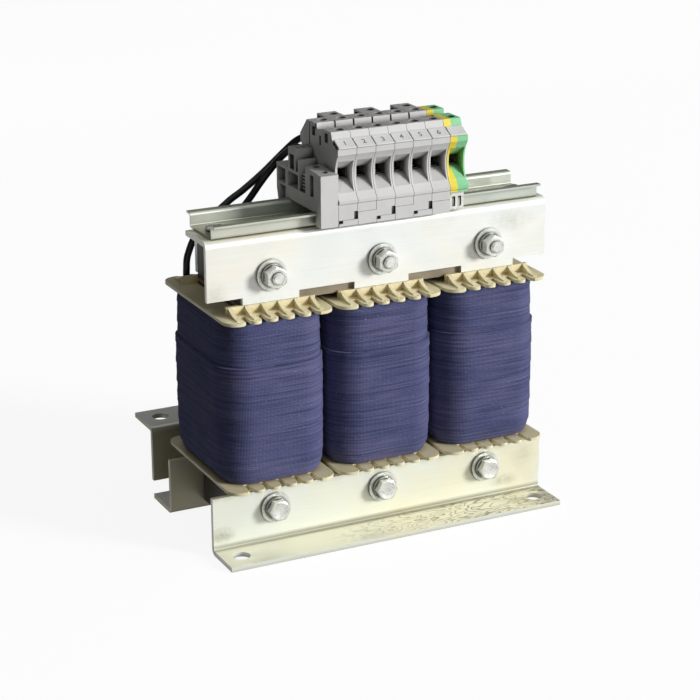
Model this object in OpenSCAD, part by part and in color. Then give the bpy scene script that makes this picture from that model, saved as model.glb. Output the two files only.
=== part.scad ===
// Three-phase line reactor: a three-limb laminated core with taped coils, clamped by bent angles,
// with a terminal row on a top-hat rail. Millimetres, +Z up, front towards -Y.
// Origin: middle of the four foot holes, on the floor.

/* [Core] */
// Width of each core limb
limb_w = 30; // [24:1:36]
// Width of the windows between the limbs
window_w = 30; // [28:1:40]
// Height of the windows
window_h = 90; // [70:1:120]
// Height of both yokes
yoke_h = 30; // [28:1:34]
// How far the yokes reach past the outer limbs
yoke_overhang = 9; // [0:0.5:12]
// Thickness of the lamination stack
stack_d = 54.5; // [45:0.5:70]
// Height of the air gap between the limbs and the upper yoke
air_gap = 1.5; // [0.5:0.1:3]

/* [Angles] */
// Length of the bent angles
angle_l = 187; // [182:1:220]
// Height of the angle walls
angle_wall = 30; // [28:0.5:31]
// Reach of the angle flanges
angle_flange = 25.2; // [22:0.2:32]
// Sheet thickness of the angles
sheet_t = 2.5; // [2:0.1:3]
// Outside radius of the bends
bend_r = 3.5; // [3:0.1:4.5]
// Distance of the bolt line from the outside of an angle's flange
bolt_line = 20; // [19:0.5:21]
// Diameter of the fixing holes in the flanges
foot_hole_d = 9; // [6:0.5:10]
// Distance of the fixing holes from the ends of the angles
foot_hole_end = 10; // [8:0.5:16]
// Distance of the fixing holes from the near face of the wall
foot_hole_out = 11.35; // [8:0.05:14]
// Width of the tabs on the upper front clamp
tab_w = 30; // [20:1:36]
// Height of the tab ends above the lower edge of the upper yoke
tab_gap = 1.4; // [1:0.1:3]
// Length of the flat bar behind the upper yoke
bar_l = 150; // [140:1:166]
// Height of the flat bar
bar_h = 25; // [20:0.5:26]
// Thickness of the flat bar
bar_t = 3; // [2:0.1:5]

/* [Fasteners] */
// Diameter of the through-bolts
bolt_d = 6; // [5:0.5:6.5]
// Diameter of the bolt holes in sheet and core
bolt_hole_d = 7; // [6.6:0.1:9]
// Width across the flats of heads and nuts
hex_af = 10; // [9:0.5:12]
// Height of the bolt heads
head_h = 4; // [3:0.1:6]
// Height of the nuts
nut_h = 5; // [4:0.1:7]
// Diameter of the flat washers
washer_d = 15.5; // [14:0.5:18]
// Thickness of the flat washers
washer_t = 1.6; // [1:0.1:2.5]
// Outside diameter of the spring washers
spring_d = 11.6; // [10:0.1:13]
// Thickness of the spring washers
spring_t = 1.6; // [1.2:0.1:2.2]
// Width of the cut in the spring washers
spring_cut = 1; // [0.6:0.1:2]
// Turn of that cut about the bolt
spring_turn = 35; // [0:5:355]
// Diameter of the flat on top of heads and nuts
hex_top = 9.5; // [8:0.1:10]
// Angle of the bevel on heads and nuts
hex_bevel = 30; // [20:5:45]
// Turn of the nuts about the bolts
nut_turn = 30; // [0:5:60]
// Length of bolt past the nut
bolt_past = 2; // [1:0.1:6]
// Outside diameter of the spacer sleeves behind the rear foot
sleeve_d = 10; // [9:0.5:16]
// Length of the spacer sleeves
sleeve_l = 22; // [15:0.5:30]
// Clearance of round parts on the bolts
bolt_fit = 0.2; // [0.1:0.05:0.5]

/* [Bobbins and coils] */
// Gap between the flanges of neighbouring bobbins
flange_gap = 2.5; // [1:0.1:4]
// Reach of the flange fingers past the stack, front and rear
flange_reach = 16; // [14:0.5:20]
// Thickness of the flanges
flange_t = 1.6; // [1.2:0.1:2.5]
// Wall of the bobbin tube
tube_t = 1.75; // [1:0.05:2.5]
// Clearance between bobbin and core
core_fit = 0.25; // [0.1:0.05:0.5]
// Gap between the bobbin and the top of the window
bobbin_play = 1.4; // [0.5:0.1:2]
// Spacing of the comb fingers
finger_pitch = 8.7; // [8:0.1:9]
// Width of the slots between the fingers
slot_w = 2.6; // [2:0.1:4]
// Length of the slots
slot_l = 9.5; // [6:0.5:11]
// Outer corner radius of the flange
flange_r = 7; // [4:0.5:7]
// Thickness of the comb walls beside the yokes
comb_t = 2; // [1.2:0.1:2.2]
// Width of the comb walls
comb_w = 47; // [44:0.5:50]
// Thickness of the comb fins
fin_t = 2; // [0.8:0.1:2.4]
// Height of the fins at the finger tips
fin_tip = 0.5; // [0.3:0.1:1]
// Distance from the fins to the finger tips
fin_back = 2.4; // [1:0.1:4]
// Gap between neighbouring coils over the tape
coil_gap = 3.6; // [2:0.1:6]
// Bulge of the taped coils past the stack, front and rear
coil_reach = 10.6; // [9:0.1:12]
// Corner radius of the taped coils
coil_r = 11; // [8:0.5:14]
// Thickness of the tape wrap
tape_t = 1.2; // [0.8:0.1:2]
// Distance of the windings from the flanges
wind_margin = 3; // [1:0.5:8]
// Step of the tape at its overlap
tape_step = 0.6; // [0.3:0.1:0.8]
// Distance of the overlap below the upper flange
tape_upper = 24; // [15:1:40]
// Play between tube, winding, tape and flanges
coil_fit = 0.1; // [0.05:0.05:0.3]

/* [Rail] */
// How much shorter the rail is than the angles
rail_short = 8; // [2:1:16]
// Width over the lips
rail_w = 35; // [34:0.5:36]
// Height of the rail
rail_h = 7.5; // [7:0.5:9]
// Sheet thickness of the rail
rail_t = 1; // [0.8:0.1:1.5]
// Width of the rail's base
rail_base = 27; // [25:0.5:28]
// Outside radius of the rail's bends
rail_r = 1.6; // [1.6:0.1:2]
// Distance of the rail's middle behind the front face of the upper clamp
rail_back = 15.75; // [14:0.25:17]
// Distance of the rail screws from the ends of the rail
rail_screw_end = 7; // [6:0.5:12]
// Thread diameter of the rail screws
rail_screw_d = 4; // [3:0.5:5]
// Head diameter of the rail screws
rail_screw_head = 8; // [6:0.5:9]
// Head height of the rail screws
rail_screw_h = 2.4; // [1.5:0.1:3]
// Length of the rail screws past the flange
rail_screw_past = 1.4; // [0.5:0.1:2]

/* [Terminals] */
// Width of one terminal
term_w = 10.2; // [9:0.1:12]
// Left end of the terminal row
row_x = -26.3; // [-40:0.1:-20]
// Play between neighbouring terminals
term_play = 0.2; // [0.05:0.05:0.3]
// Walls on both sides of the wire funnels
term_wall = 1; // [0.8:0.05:1.1]
// Reach of the terminals from the rail's middle, front and rear
term_reach = 22; // [21.5:0.1:24]
// Height of the feet above the rail's underside
foot_low = 1; // [0.6:0.1:2]
// Height of the lip on odd feet
lip_low = 2.8; // [2:0.1:4]
// Height of the lip on even feet
lip_high = 6.2; // [5:0.1:8]
// Overhang of the lips
lip_out = 0.4; // [0.2:0.1:0.6]
// Height of the lower edge of the chin
chin_low = 11.4; // [10:0.1:12]
// Height of the upper edge of the chin
chin_high = 14; // [13:0.1:14.5]
// Overhang of the chin
chin_out = 0.6; // [0.3:0.1:1]
// Depth of the throat behind the foot's face
throat_in = 4; // [3:0.1:4.5]
// Height of the deepest point of the throat
throat_mid = 25.3; // [24.5:0.1:26]
// Radius of the throat
throat_r = 17.6; // [16:0.1:20]
// Depth of the nose behind the foot's face
nose_in = 0.5; // [0.2:0.1:1]
// Height of the lower edge of the nose
nose_low = 36.2; // [35.5:0.1:37]
// Height of the upper edge of the nose
nose_high = 38.6; // [38:0.1:39.5]
// Depth of the marker seat's upper edge behind the foot's face
seat_in = 6.8; // [6:0.1:7.5]
// Height of the marker seat's upper edge
seat_high = 42; // [41:0.1:43]
// Width of the ledges on both sides of the groove in the marker seat
seat_ledge = 1; // [0.6:0.1:1.5]
// Depth of that groove
seat_deep = 1.2; // [0.6:0.1:1.6]
// Depth of the front deck's edge behind the foot's face
deck_in = 8.4; // [7.8:0.1:9]
// Height of the front deck
deck_front = 45.8; // [45:0.1:46.5]
// Height of the rear deck
deck_rear = 46.9; // [46.6:0.1:48]
// Depth of the dip between the two decks
deck_dip = 1.9; // [0.5:0.1:3]
// Rear end of the front deck, before the rail's middle
deck_step = 5.6; // [5:0.1:6.4]
// Front edge of the rear deck, behind the rail's middle
deck_edge = 3.6; // [3:0.1:4.5]
// Slant of the riser in front of the rear deck
riser_in = 0.5; // [0.2:0.1:1]
// Width of the slits beside the riser
slit_w = 0.7; // [0.4:0.1:1]
// Depth of those slits
slit_deep = 1.2; // [0.6:0.1:2]
// Rear end of the rear deck on terminals without a hood
deck_end = 13.5; // [12.5:0.1:14.5]
// Reach of the hood on every second terminal
hood_reach = 23.5; // [22.5:0.1:26]
// Height of the hood's underside
hood_low = 40.5; // [39:0.1:41.5]
// Distance of the clamping screws from the rail's middle
screw_off = 9.2; // [8.6:0.1:9.8]
// Distance of the hood's socket from the rail's middle
socket_off = 18.8; // [17.5:0.1:19.5]
// Diameter of the screw wells
well_d = 5; // [4.4:0.1:5.4]
// Depth of the hood's socket
socket_deep = 5; // [3:0.5:6]
// Length of the slot in the hood's left side
hood_slot_l = 5; // [3:0.1:6]
// Height of that slot
hood_slot_h = 1.8; // [1:0.1:2.5]
// Height of the wire holes' middle
wire_z = 24.9; // [24:0.1:26]
// Distance of the wire holes from the terminals' middle, towards the right
wire_off = 1.2; // [0.8:0.05:1.3]
// Side of the square wire holes
wire_w = 5.2; // [4.5:0.1:5.4]
// Height of the room for a wire under the current bar
wire_room = 4; // [3.6:0.1:4.4]
// Angle of the funnels' upper and lower faces
funnel_flare = 37; // [30:1:38]
// Wall between a funnel and the cage chamber
funnel_wall = 0.8; // [0.6:0.1:1.2]
// Clearance between terminals and rail
rail_fit = 0.15; // [0.05:0.05:0.3]
// Overlap of the feet under the rail's lips
hook = 2; // [1:0.1:2.5]
// Width of the notches in the feet
notch_w = 2; // [1:0.1:3]
// Height of the tall notches
notch_high = 4; // [2:0.1:5]
// Height of the short notches
notch_low = 1.5; // [1:0.1:2]

/* [Terminal sides] */
// Depth of the recesses in the left sides
side_deep = 1.6; // [0.8:0.1:2]
// Distance of the groove behind the rail's middle
groove_y = 10; // [9:0.1:11]
// Width of the groove
groove_w = 0.9; // [0.5:0.1:1.5]
// Height of the groove's lower end
groove_low = 35; // [33:0.1:38]
// Width of the windows
side_w = 3.6; // [2.5:0.1:4]
// Height of the windows
side_h = 4.6; // [3:0.1:5]
// Distance of the rear window behind the rail's middle
side_rear_y = 4; // [3:0.1:5]
// Height of the rear window's lower edge
side_rear_z = 40.3; // [38:0.1:41]
// Distance of the front window before the rail's middle
side_front_y = 10.2; // [9:0.1:11]
// Height of the front window's lower edge
side_front_z = 39.6; // [38:0.1:40]
// Width of the slot between the windows
side_mid_w = 1.9; // [1:0.1:2.5]
// Distance of that slot before the rail's middle
side_mid_y = 2.5; // [2:0.1:4]
// Height of that slot's lower edge
side_mid_z = 37; // [35:0.1:38]

/* [Terminal metal] */
// Width of the cages
cage_w = 5.8; // [5.7:0.05:6]
// Length of the cages
cage_l = 5.6; // [5:0.1:6.4]
// Height of the cages
cage_h = 10.6; // [9.6:0.1:11]
// Wall of the cages
cage_t = 0.8; // [0.6:0.05:0.85]
// Width of the current bars
bus_w = 4; // [3:0.1:4.1]
// Thickness of the current bars
bus_t = 1.2; // [1:0.1:1.5]
// Shank diameter of the clamping screws
clamp_d = 3.4; // [3:0.1:3.6]
// Head diameter of the clamping screws
clamp_head = 4.6; // [4:0.1:4.8]
// Head height of the clamping screws
clamp_head_h = 3; // [2:0.1:3.5]
// Shank length of the clamping screws
clamp_l = 8; // [6:0.1:9]
// Width of the driver slots
driver_w = 0.9; // [0.6:0.1:1.2]
// Depth of the driver slots
driver_deep = 1; // [0.6:0.1:1.5]
// Play of the metal parts in the housings
metal_fit = 0.2; // [0.1:0.05:0.3]

/* [Earth terminal] */
// Width of the earth terminal's left half
earth_left_w = 4; // [3:0.1:5]
// Width of the whole earth terminal
earth_w = 10; // [9.6:0.1:12]
// Height of the earth housing's underside
earth_low = 10.6; // [9:0.1:11]
// Rear end of its front hump, before the rail's middle
hump_end = 1.6; // [0.5:0.1:3]
// Depth of the valley between its two humps
valley = 6; // [3:0.1:8]
// Thickness of the legs of its metal foot
leg_t = 1.6; // [1:0.1:2]
// Width of the two slots in each leg
leg_slot = 1.9; // [1:0.1:2.2]

/* [End clamp] */
// Width of the end clamp
clamp_w = 9.5; // [8:0.1:12]
// Reach of the end clamp behind the rail's middle
clamp_rear = 29.5; // [27:0.5:32]
// Height of the front block at its front
block_front = 26.8; // [26:0.1:28]
// Height of the front block at its back
block_back = 28.2; // [27.5:0.1:29.5]
// Back of the front block, before the rail's middle
block_end = 4.2; // [3.5:0.1:5]
// Thickness of the closed right side
clamp_web = 2.2; // [1.5:0.1:3]
// Height of the floor under the bays
clamp_floor = 14.4; // [12:0.1:16]
// Distance of the ridge behind the rail's middle
ridge_y = 2.6; // [2:0.1:3.2]
// Height of the ridge
ridge_high = 29.6; // [26:0.1:31]
// Front of the pillar, behind the rail's middle
pillar_from = 6.8; // [6.2:0.1:7.5]
// Depth of the pillar
pillar_d = 8.5; // [8:0.1:9]
// Height of the pillar
pillar_high = 34; // [32:0.5:36]
// Middle of the post before the rear leg, behind the rail's middle
post_y = 17.5; // [17:0.1:18.5]
// Height of the rear leg
leg_high = 23.2; // [21:0.1:25]
// Height at which the rear leg starts to taper
leg_taper = 10; // [8:0.1:12]
// How far the rear leg tapers in
leg_in = 2.4; // [1:0.1:3]
// Wall left around the pockets
pocket_wall = 1.6; // [1.2:0.1:2]
// Width of the pocket in the front block
pocket_w = 4; // [3:0.1:4.2]
// Depth of the pocket in the pillar
pillar_pocket = 2; // [1:0.1:2.2]
// Spacing of the two holes in the front block
clamp_hole_gap = 9.2; // [8.5:0.1:10]
// Middle of those holes, before the rail's middle
clamp_hole_y = 11.6; // [11:0.1:12]
// Depth of those holes
clamp_hole_deep = 5.5; // [3:0.1:8]
// Number of ribs behind the front block
rib_n = 5; // [3:1:6]

/* [Marker strip and leads] */
// Thickness of the marker strip
strip_t = 0.8; // [0.5:0.1:1.2]
// Gap between the marker strip and the edges of its seat
strip_edge = 0.2; // [0.1:0.1:0.5]
// Distance of the marker strip's ends from the ends of the row
strip_end = 0.5; // [0.2:0.1:2]
// Diameter of the leads
lead_d = 3.6; // [3:0.1:4]
// Diameter of the bare wire under the leads
wire_d = 2.2; // [1.5:0.1:2.4]
// Distance of the leads from the ends of the comb slots
lead_slot_in = 2.75; // [2:0.05:4]
// Straight end of the leads inside the terminals
lead_straight = 10; // [8:0.5:12]

/* [Hidden] */

$fn = 64;
eps = 0.5;
hex_sides = 6;

// Core
pitch = limb_w + window_w;
phases = [-pitch, 0, pitch];
yoke_l = 2 * pitch + limb_w + 2 * yoke_overhang;
yoke_low = bolt_line - yoke_h / 2;
limb_low = yoke_low + yoke_h;
limb_top = limb_low + window_h;
upper_low = limb_top + air_gap;
upper_bolt = upper_low + yoke_h / 2;
stack_y = stack_d / 2;

// Angles
wall_y = stack_y + sheet_t;
clamp_top = upper_bolt + bolt_line;
clamp_low = clamp_top - angle_wall;
tab_low = upper_low + tab_gap;
foot_hole_x = angle_l / 2 - foot_hole_end;
bracket_y = wall_y + sleeve_l;
bar_y = stack_y + bar_t;

// Bobbins and coils
flange_w = pitch - flange_gap;
flange_y = stack_y + flange_reach;
bobbin_top = limb_top - bobbin_play;
comb_in = stack_y + core_fit;
comb_high = tab_low - core_fit - bobbin_top;
finger_n = 6;
finger_row = (finger_n - 1) * finger_pitch / 2;
finger_mids = [for (k = [0:finger_n - 1]) k * finger_pitch - finger_row];
slot_mids = [for (k = [1:finger_n - 1]) (k - 1 / 2) * finger_pitch - finger_row];
finger_w = finger_pitch - slot_w;
corner_in = finger_row - finger_w / 2;
finger_cut = finger_w / 4;
fin_reach = flange_y - fin_back - comb_in - comb_t;
fin_rise = comb_high - fin_tip;
fin_r = (fin_reach * fin_reach + fin_rise * fin_rise) / (2 * fin_rise);
tube_x = limb_w / 2 + core_fit + tube_t;
tube_y = stack_y + core_fit + tube_t;
coil_x = (pitch - coil_gap) / 2;
coil_y = stack_y + coil_reach;
coil_low = limb_low + flange_t + coil_fit;
coil_top = bobbin_top - flange_t - coil_fit;
wind_low = limb_low + flange_t + wind_margin;
wind_top = bobbin_top - flange_t - wind_margin;

// Seats of heads and nuts, front and rear
upper_head_y = bar_y + washer_t;
upper_nut_y = wall_y + washer_t + spring_t;
lower_head_y = wall_y + washer_t + spring_t;
lower_nut_y = bracket_y + sheet_t + washer_t;

// Rail and terminals
rail_l = angle_l - rail_short;
rail_y = rail_back - wall_y;
rail_z = clamp_top;
lip_y = rail_w / 2;
term_count = 6;
earth_x = row_x + term_count * term_w;
clamp_x = row_x - clamp_w;
clamp_screw_y = pillar_from + pillar_d / 2;
throat_y = term_reach - throat_in;
nose_y = term_reach - nose_in;
seat_y = term_reach - seat_in;
deck_y = term_reach - deck_in;
chamber_y = screw_off + cage_l / 2 + metal_fit;
funnel_y = chamber_y + funnel_wall;
chamber_w = cage_w + 2 * metal_fit;
chamber_low = wire_z - wire_room / 2 - cage_t - 2 * metal_fit;
chamber_h = cage_h + 2 * metal_fit;
cage_low = chamber_low + metal_fit;
bus_low = wire_z + wire_room / 2 + 2 * metal_fit;
bus_top = bus_low + bus_t;
seat_run = nose_y - seat_y;
seat_rise = seat_high - nose_high;
seat_l = norm([seat_run, seat_rise]);
seat_along = [seat_run, seat_rise] / seat_l;
seat_inward = [seat_rise, -seat_run] / seat_l;
dip_z = deck_front - deck_dip;

// Leads: each rises from a slot of its coil's rear comb and bows over to the back of its terminal
lead_y = flange_y - slot_l + lead_slot_in;
lead_low = bobbin_top + wire_d / 2;
lead_in = rail_y + screw_off - cage_l / 2;
lead_z = rail_z + wire_z;
// Shares of the way across, up and forward, for the first and the second lead of each coil
lead_over = [[0.02, 0.19, -0.015], [0.12, 0.37, -0.05], [0.36, 0.565, -0.1], [0.5, 0.65, -0.13],
    [0.67, 0.775, -0.145], [0.83, 0.93, -0.105], [0.915, 1.045, 0.045], [0.97, 1.1, 0.265],
    [0.995, 1.09, 0.53], [1, 1.03, 0.785]];
lead_under = [[0.03, 0.2, -0.06], [0.215, 0.375, -0.09], [0.475, 0.59, -0.04], [0.6, 0.705, -0.005],
    [0.72, 0.8, 0.015], [0.845, 0.905, 0.075], [0.925, 0.985, 0.205], [0.975, 1.035, 0.38],
    [1, 1.04, 0.6], [1, 1.02, 0.82]];
lead_slot = [0, 2, 0, 2, 0, 2];
lead_terminal = [1, 0, 2, 3, 4, 5];
lead_about = [1, 0.2, 0.1];
lead_sides = 10;
lead_steps = 3;

steel_c = "gainsboro";
zinc_c = "lightgray";
core_c = "dimgray";
copper_c = "chocolate";
bobbin_c = "wheat";
tape_c = "midnightblue";
grey_c = "silver";

// Helpers: a profile drawn in (y, z) and pushed along X
module along_x(length) rotate([90, 0, 90]) linear_extrude(length) children();

module rounded_box_2d(x, y, r) {
    square([2 * x, 2 * (y - r)], center = true);
    square([2 * (x - r), 2 * y], center = true);
    for (sx = [-1, 1], sy = [-1, 1]) translate([sx * (x - r), sy * (y - r)]) circle(r);
}

module quarter_bend_2d(r, t) intersection() {
    square(r);
    translate([r, r]) difference() {
        circle(r);
        circle(r - t);
    }
}

module at_bolts(z) for (x = phases) translate([x, 0, z]) children();

module bolt_holes(z, length) at_bolts(z)
    rotate([90, 0, 0]) cylinder(d = bolt_hole_d, h = length, center = true);

// Core
module core_e_stack() color(core_c) difference() {
    union() {
        translate([-yoke_l / 2, -stack_y, yoke_low]) cube([yoke_l, stack_d, yoke_h]);
        for (x = phases) translate([x - limb_w / 2, -stack_y, limb_low]) cube([limb_w, stack_d, window_h]);
    }
    bolt_holes(bolt_line, stack_d + 2 * eps);
}

module upper_yoke() color(core_c) difference() {
    translate([-yoke_l / 2, -stack_y, upper_low]) cube([yoke_l, stack_d, yoke_h]);
    bolt_holes(upper_bolt, stack_d + 2 * eps);
}

module gap_spacers() color("peru")
    for (x = phases) translate([x - limb_w / 2, -stack_y, limb_top]) cube([limb_w, stack_d, air_gap]);

// Bobbins: a tube with two flanges, each with a comb of six fingers at the front and the rear
module finger_row_2d() {
    for (k = [1:finger_n - 2]) translate([finger_mids[k], 0]) {
        translate([-finger_w / 2, 0]) square([finger_w, flange_y - finger_w / 2]);
        translate([0, flange_y - finger_w / 2]) circle(d = finger_w);
    }
    for (s = [0, 1]) mirror([s, 0]) corner_finger_2d();
}

module corner_finger_2d() intersection() {
    rounded_box_2d(flange_w / 2, flange_y, flange_r);
    polygon([[corner_in, 0], [flange_w / 2 + eps, 0], [flange_w / 2 + eps, flange_y + eps],
        [corner_in + finger_cut + eps, flange_y + eps], [corner_in, flange_y - finger_cut]]);
}

module flange_2d() difference() {
    union() {
        square([flange_w, 2 * (flange_y - slot_l)], center = true);
        finger_row_2d();
        mirror([0, 1]) finger_row_2d();
    }
    square([limb_w + 2 * core_fit, stack_d + 2 * core_fit], center = true);
}

module fin_2d() difference() {
    square([fin_reach, comb_high]);
    translate([fin_reach, fin_tip + fin_r]) circle(fin_r, $fn = 128);
}

module comb() {
    translate([-comb_w / 2, comb_in, 0]) cube([comb_w, comb_t, comb_high]);
    for (x = finger_mids) translate([x - fin_t / 2, comb_in + comb_t, 0]) along_x(fin_t) fin_2d();
}

module flange() {
    linear_extrude(flange_t) flange_2d();
    for (s = [0, 1]) mirror([0, s, 0]) translate([0, 0, flange_t]) comb();
}

module bobbin(x) color(bobbin_c) translate([x, 0, 0]) {
    translate([0, 0, bobbin_top - flange_t]) flange();
    translate([0, 0, limb_low + flange_t]) mirror([0, 0, 1]) flange();
    translate([0, 0, limb_low + flange_t])
        linear_extrude(bobbin_top - limb_low - 2 * flange_t) difference() {
        square([2 * tube_x, 2 * tube_y], center = true);
        square([limb_w + 2 * core_fit, stack_d + 2 * core_fit], center = true);
    }
}

module bobbin_left() bobbin(phases[0]);
module bobbin_center() bobbin(phases[1]);
module bobbin_right() bobbin(phases[2]);

// Coils: copper winding inside a tape wrap whose lower part laps over the upper one
module coil_2d(inset) rounded_box_2d(coil_x - inset, coil_y - inset, coil_r - inset);

module winding(x) color(copper_c)
    translate([x, 0, wind_low]) linear_extrude(wind_top - wind_low) difference() {
        coil_2d(tape_step + tape_t + coil_fit);
        square([2 * (tube_x + coil_fit), 2 * (tube_y + coil_fit)], center = true);
    }

module tape(x) color(tape_c) translate([x, 0, coil_low]) difference() {
    union() {
        linear_extrude(coil_top - coil_low) coil_2d(tape_step);
        linear_extrude(coil_top - coil_low - tape_upper) coil_2d(0);
    }
    translate([0, 0, -eps]) linear_extrude(coil_top - coil_low + 2 * eps) coil_2d(tape_step + tape_t);
}

module winding_left() winding(phases[0]);
module winding_center() winding(phases[1]);
module winding_right() winding(phases[2]);
module tape_left() tape(phases[0]);
module tape_center() tape(phases[1]);
module tape_right() tape(phases[2]);

// Bent angles: outside of the bend at the origin, wall up, flange towards +Y
module angle_2d() {
    translate([bend_r, 0]) square([angle_flange - bend_r, sheet_t]);
    translate([0, bend_r]) square([sheet_t, angle_wall - bend_r]);
    quarter_bend_2d(bend_r, sheet_t);
}

module angle() difference() {
    translate([-angle_l / 2, 0, 0]) along_x(angle_l) angle_2d();
    bolt_holes(bolt_line, 2 * (sheet_t + eps));
}

module mounting_angle() difference() {
    angle();
    for (s = [-1, 1]) translate([s * foot_hole_x, sheet_t + foot_hole_out, -eps])
        cylinder(d = foot_hole_d, h = sheet_t + 2 * eps);
}

module front_foot() color(zinc_c) translate([0, -stack_y, 0]) mirror([0, 1, 0]) mounting_angle();
module rear_foot() color(zinc_c) translate([0, stack_y, 0]) mounting_angle();
module rear_bracket() color(zinc_c) translate([0, bracket_y, 2 * bolt_line])
    mirror([0, 0, 1]) mounting_angle();

module upper_front_clamp() color(zinc_c) difference() {
    union() {
        translate([0, -wall_y, clamp_top]) mirror([0, 0, 1]) angle();
        for (x = phases) translate([x - tab_w / 2, -wall_y, tab_low])
            cube([tab_w, sheet_t, clamp_low - tab_low + eps]);
    }
    at_rail_screws() cylinder(d = rail_screw_d + bolt_fit, h = 2 * (sheet_t + eps), center = true);
}

module upper_rear_bar() color(zinc_c) difference() {
    translate([-bar_l / 2, stack_y, upper_bolt - bar_h / 2]) cube([bar_l, bar_t, bar_h]);
    translate([0, stack_y, 0]) bolt_holes(upper_bolt, 2 * (bar_t + eps));
}

// Fasteners: axis along -Y, seat at y = 0, drawn towards the viewer at the front
module hex_body(height) intersection() {
    cylinder(d = hex_af / cos(180 / hex_sides), h = height, $fn = hex_sides);
    cylinder(d1 = hex_top + 2 * height / tan(hex_bevel), d2 = hex_top, h = height);
}

module ring(d, bore, height) difference() {
    cylinder(d = d, h = height);
    translate([0, 0, -eps]) cylinder(d = bore, h = height + 2 * eps);
}

module hex_bolt(length) {
    hex_body(head_h);
    translate([0, 0, -length]) cylinder(d = bolt_d, h = length + eps);
}

module hex_nut() difference() {
    rotate(nut_turn) hex_body(nut_h);
    translate([0, 0, -eps]) cylinder(d = bolt_d + bolt_fit, h = nut_h + 2 * eps);
}

module facing_front(y) translate([0, -y, 0]) rotate([90, 0, 0]) children();
module facing_rear(y) translate([0, y, 0]) rotate([-90, 0, 0]) children();

module upper_bolts() color(steel_c) at_bolts(upper_bolt)
    facing_rear(upper_head_y) hex_bolt(upper_head_y + upper_nut_y + nut_h + bolt_past);
module upper_nuts() color(steel_c) at_bolts(upper_bolt) facing_front(upper_nut_y) hex_nut();
module upper_washers() color(steel_c) at_bolts(upper_bolt) {
    facing_front(wall_y) ring(washer_d, bolt_d + bolt_fit, washer_t);
    facing_rear(bar_y) ring(washer_d, bolt_d + bolt_fit, washer_t);
}

module lower_bolts() color(steel_c) at_bolts(bolt_line)
    facing_front(lower_head_y) hex_bolt(lower_head_y + lower_nut_y + nut_h + bolt_past);
module lower_nuts() color(steel_c) at_bolts(bolt_line) facing_rear(lower_nut_y) hex_nut();
module lower_washers() color(steel_c) at_bolts(bolt_line) {
    facing_front(wall_y) ring(washer_d, bolt_d + bolt_fit, washer_t);
    facing_rear(bracket_y + sheet_t) ring(washer_d, bolt_d + bolt_fit, washer_t);
}
module spring_washer() difference() {
    ring(spring_d, bolt_d + bolt_fit, spring_t);
    rotate(spring_turn) translate([0, -spring_cut / 2, -eps])
        cube([spring_d, spring_cut, spring_t + 2 * eps]);
}

module spring_washers() color(steel_c) for (z = [bolt_line, upper_bolt])
    at_bolts(z) facing_front(wall_y + washer_t) spring_washer();
module spacer_sleeves() color(steel_c) at_bolts(bolt_line)
    facing_rear(wall_y) ring(sleeve_d, bolt_d + bolt_fit, sleeve_l);

// Rail
module at_rail_screws() for (s = [-1, 1])
    translate([s * (rail_l / 2 - rail_screw_end), rail_y, rail_z]) children();

module half_rail_2d() {
    web_y = rail_base / 2;
    square([web_y - rail_r, rail_t]);
    translate([web_y, 0]) mirror([1, 0]) quarter_bend_2d(rail_r, rail_t);
    translate([web_y - rail_t, rail_r]) square([rail_t, rail_h - 2 * rail_r]);
    translate([web_y - rail_t, rail_h]) mirror([0, 1]) quarter_bend_2d(rail_r, rail_t);
    translate([web_y - rail_t + rail_r, rail_h - rail_t]) square([lip_y - web_y + rail_t - rail_r, rail_t]);
}

module din_rail() color(zinc_c) difference() {
    translate([-rail_l / 2, rail_y, rail_z]) along_x(rail_l) {
        half_rail_2d();
        mirror([1, 0]) half_rail_2d();
    }
    at_rail_screws() cylinder(d = rail_screw_d + bolt_fit, h = 2 * (rail_t + eps), center = true);
}

module rail_screws() color(steel_c) at_rail_screws() difference() {
    union() {
        translate([0, 0, rail_t]) cylinder(d = rail_screw_head, h = rail_screw_h);
        translate([0, 0, -sheet_t - rail_screw_past])
            cylinder(d = rail_screw_d, h = sheet_t + rail_screw_past + rail_t + eps);
    }
    translate([0, 0, rail_t + rail_screw_h])
        cube([rail_screw_head + eps, driver_w, 2 * driver_deep], center = true);
}

// What a foot leaves free for the rail: the lips, and the room between the hooks under them
module rail_room_2d() {
    translate([-lip_y - rail_fit, rail_h - rail_t - rail_fit])
        square([rail_w + 2 * rail_fit, rail_t + 2 * rail_fit]);
    translate([hook - lip_y, -eps]) square([rail_w - 2 * hook, rail_h + rail_fit + eps]);
}

// Terminals: outline from the rail's middle and underside, front towards -y
function foot_outline(low, lip) = lip > 0
    ? [[-term_reach - lip_out, low], [-term_reach - lip_out, low + lip], [-term_reach, low + lip]]
    : [[-term_reach, low]];

function front_outline() = [[-term_reach, chin_low], [-term_reach - chin_out, chin_low + chin_out],
    [-term_reach - chin_out, chin_high], [-nose_y, nose_low]];

function seat_outline() = let (
    a = [-nose_y, nose_high],
    b = a + seat_ledge * seat_along,
    d = [-seat_y, seat_high],
    c = d - seat_ledge * seat_along)
    [a, b, b + seat_deep * seat_inward, c + seat_deep * seat_inward, c, d];

function deck_outline(deep) = deep > 0
    ? [[-deck_y, deck_front], [-hump_end, deck_front], [riser_in - hump_end, deck_front - deep],
        [deck_edge - riser_in, deck_front - deep], [deck_edge, deck_rear]]
    : [[-deck_y, deck_front], [-deck_step, deck_front], [deck_edge - riser_in, dip_z],
        [deck_edge, deck_rear]];

function hood_outline(hood) = hood ? [[hood_reach, deck_rear], [hood_reach, hood_low], [nose_y, hood_low]]
    : [[deck_end, deck_rear], [nose_y, nose_high]];

function rear_outline(low) = [[nose_y, nose_low], [term_reach + chin_out, chin_high],
    [term_reach + chin_out, chin_low + chin_out], [term_reach, chin_low], [term_reach, low]];

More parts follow.
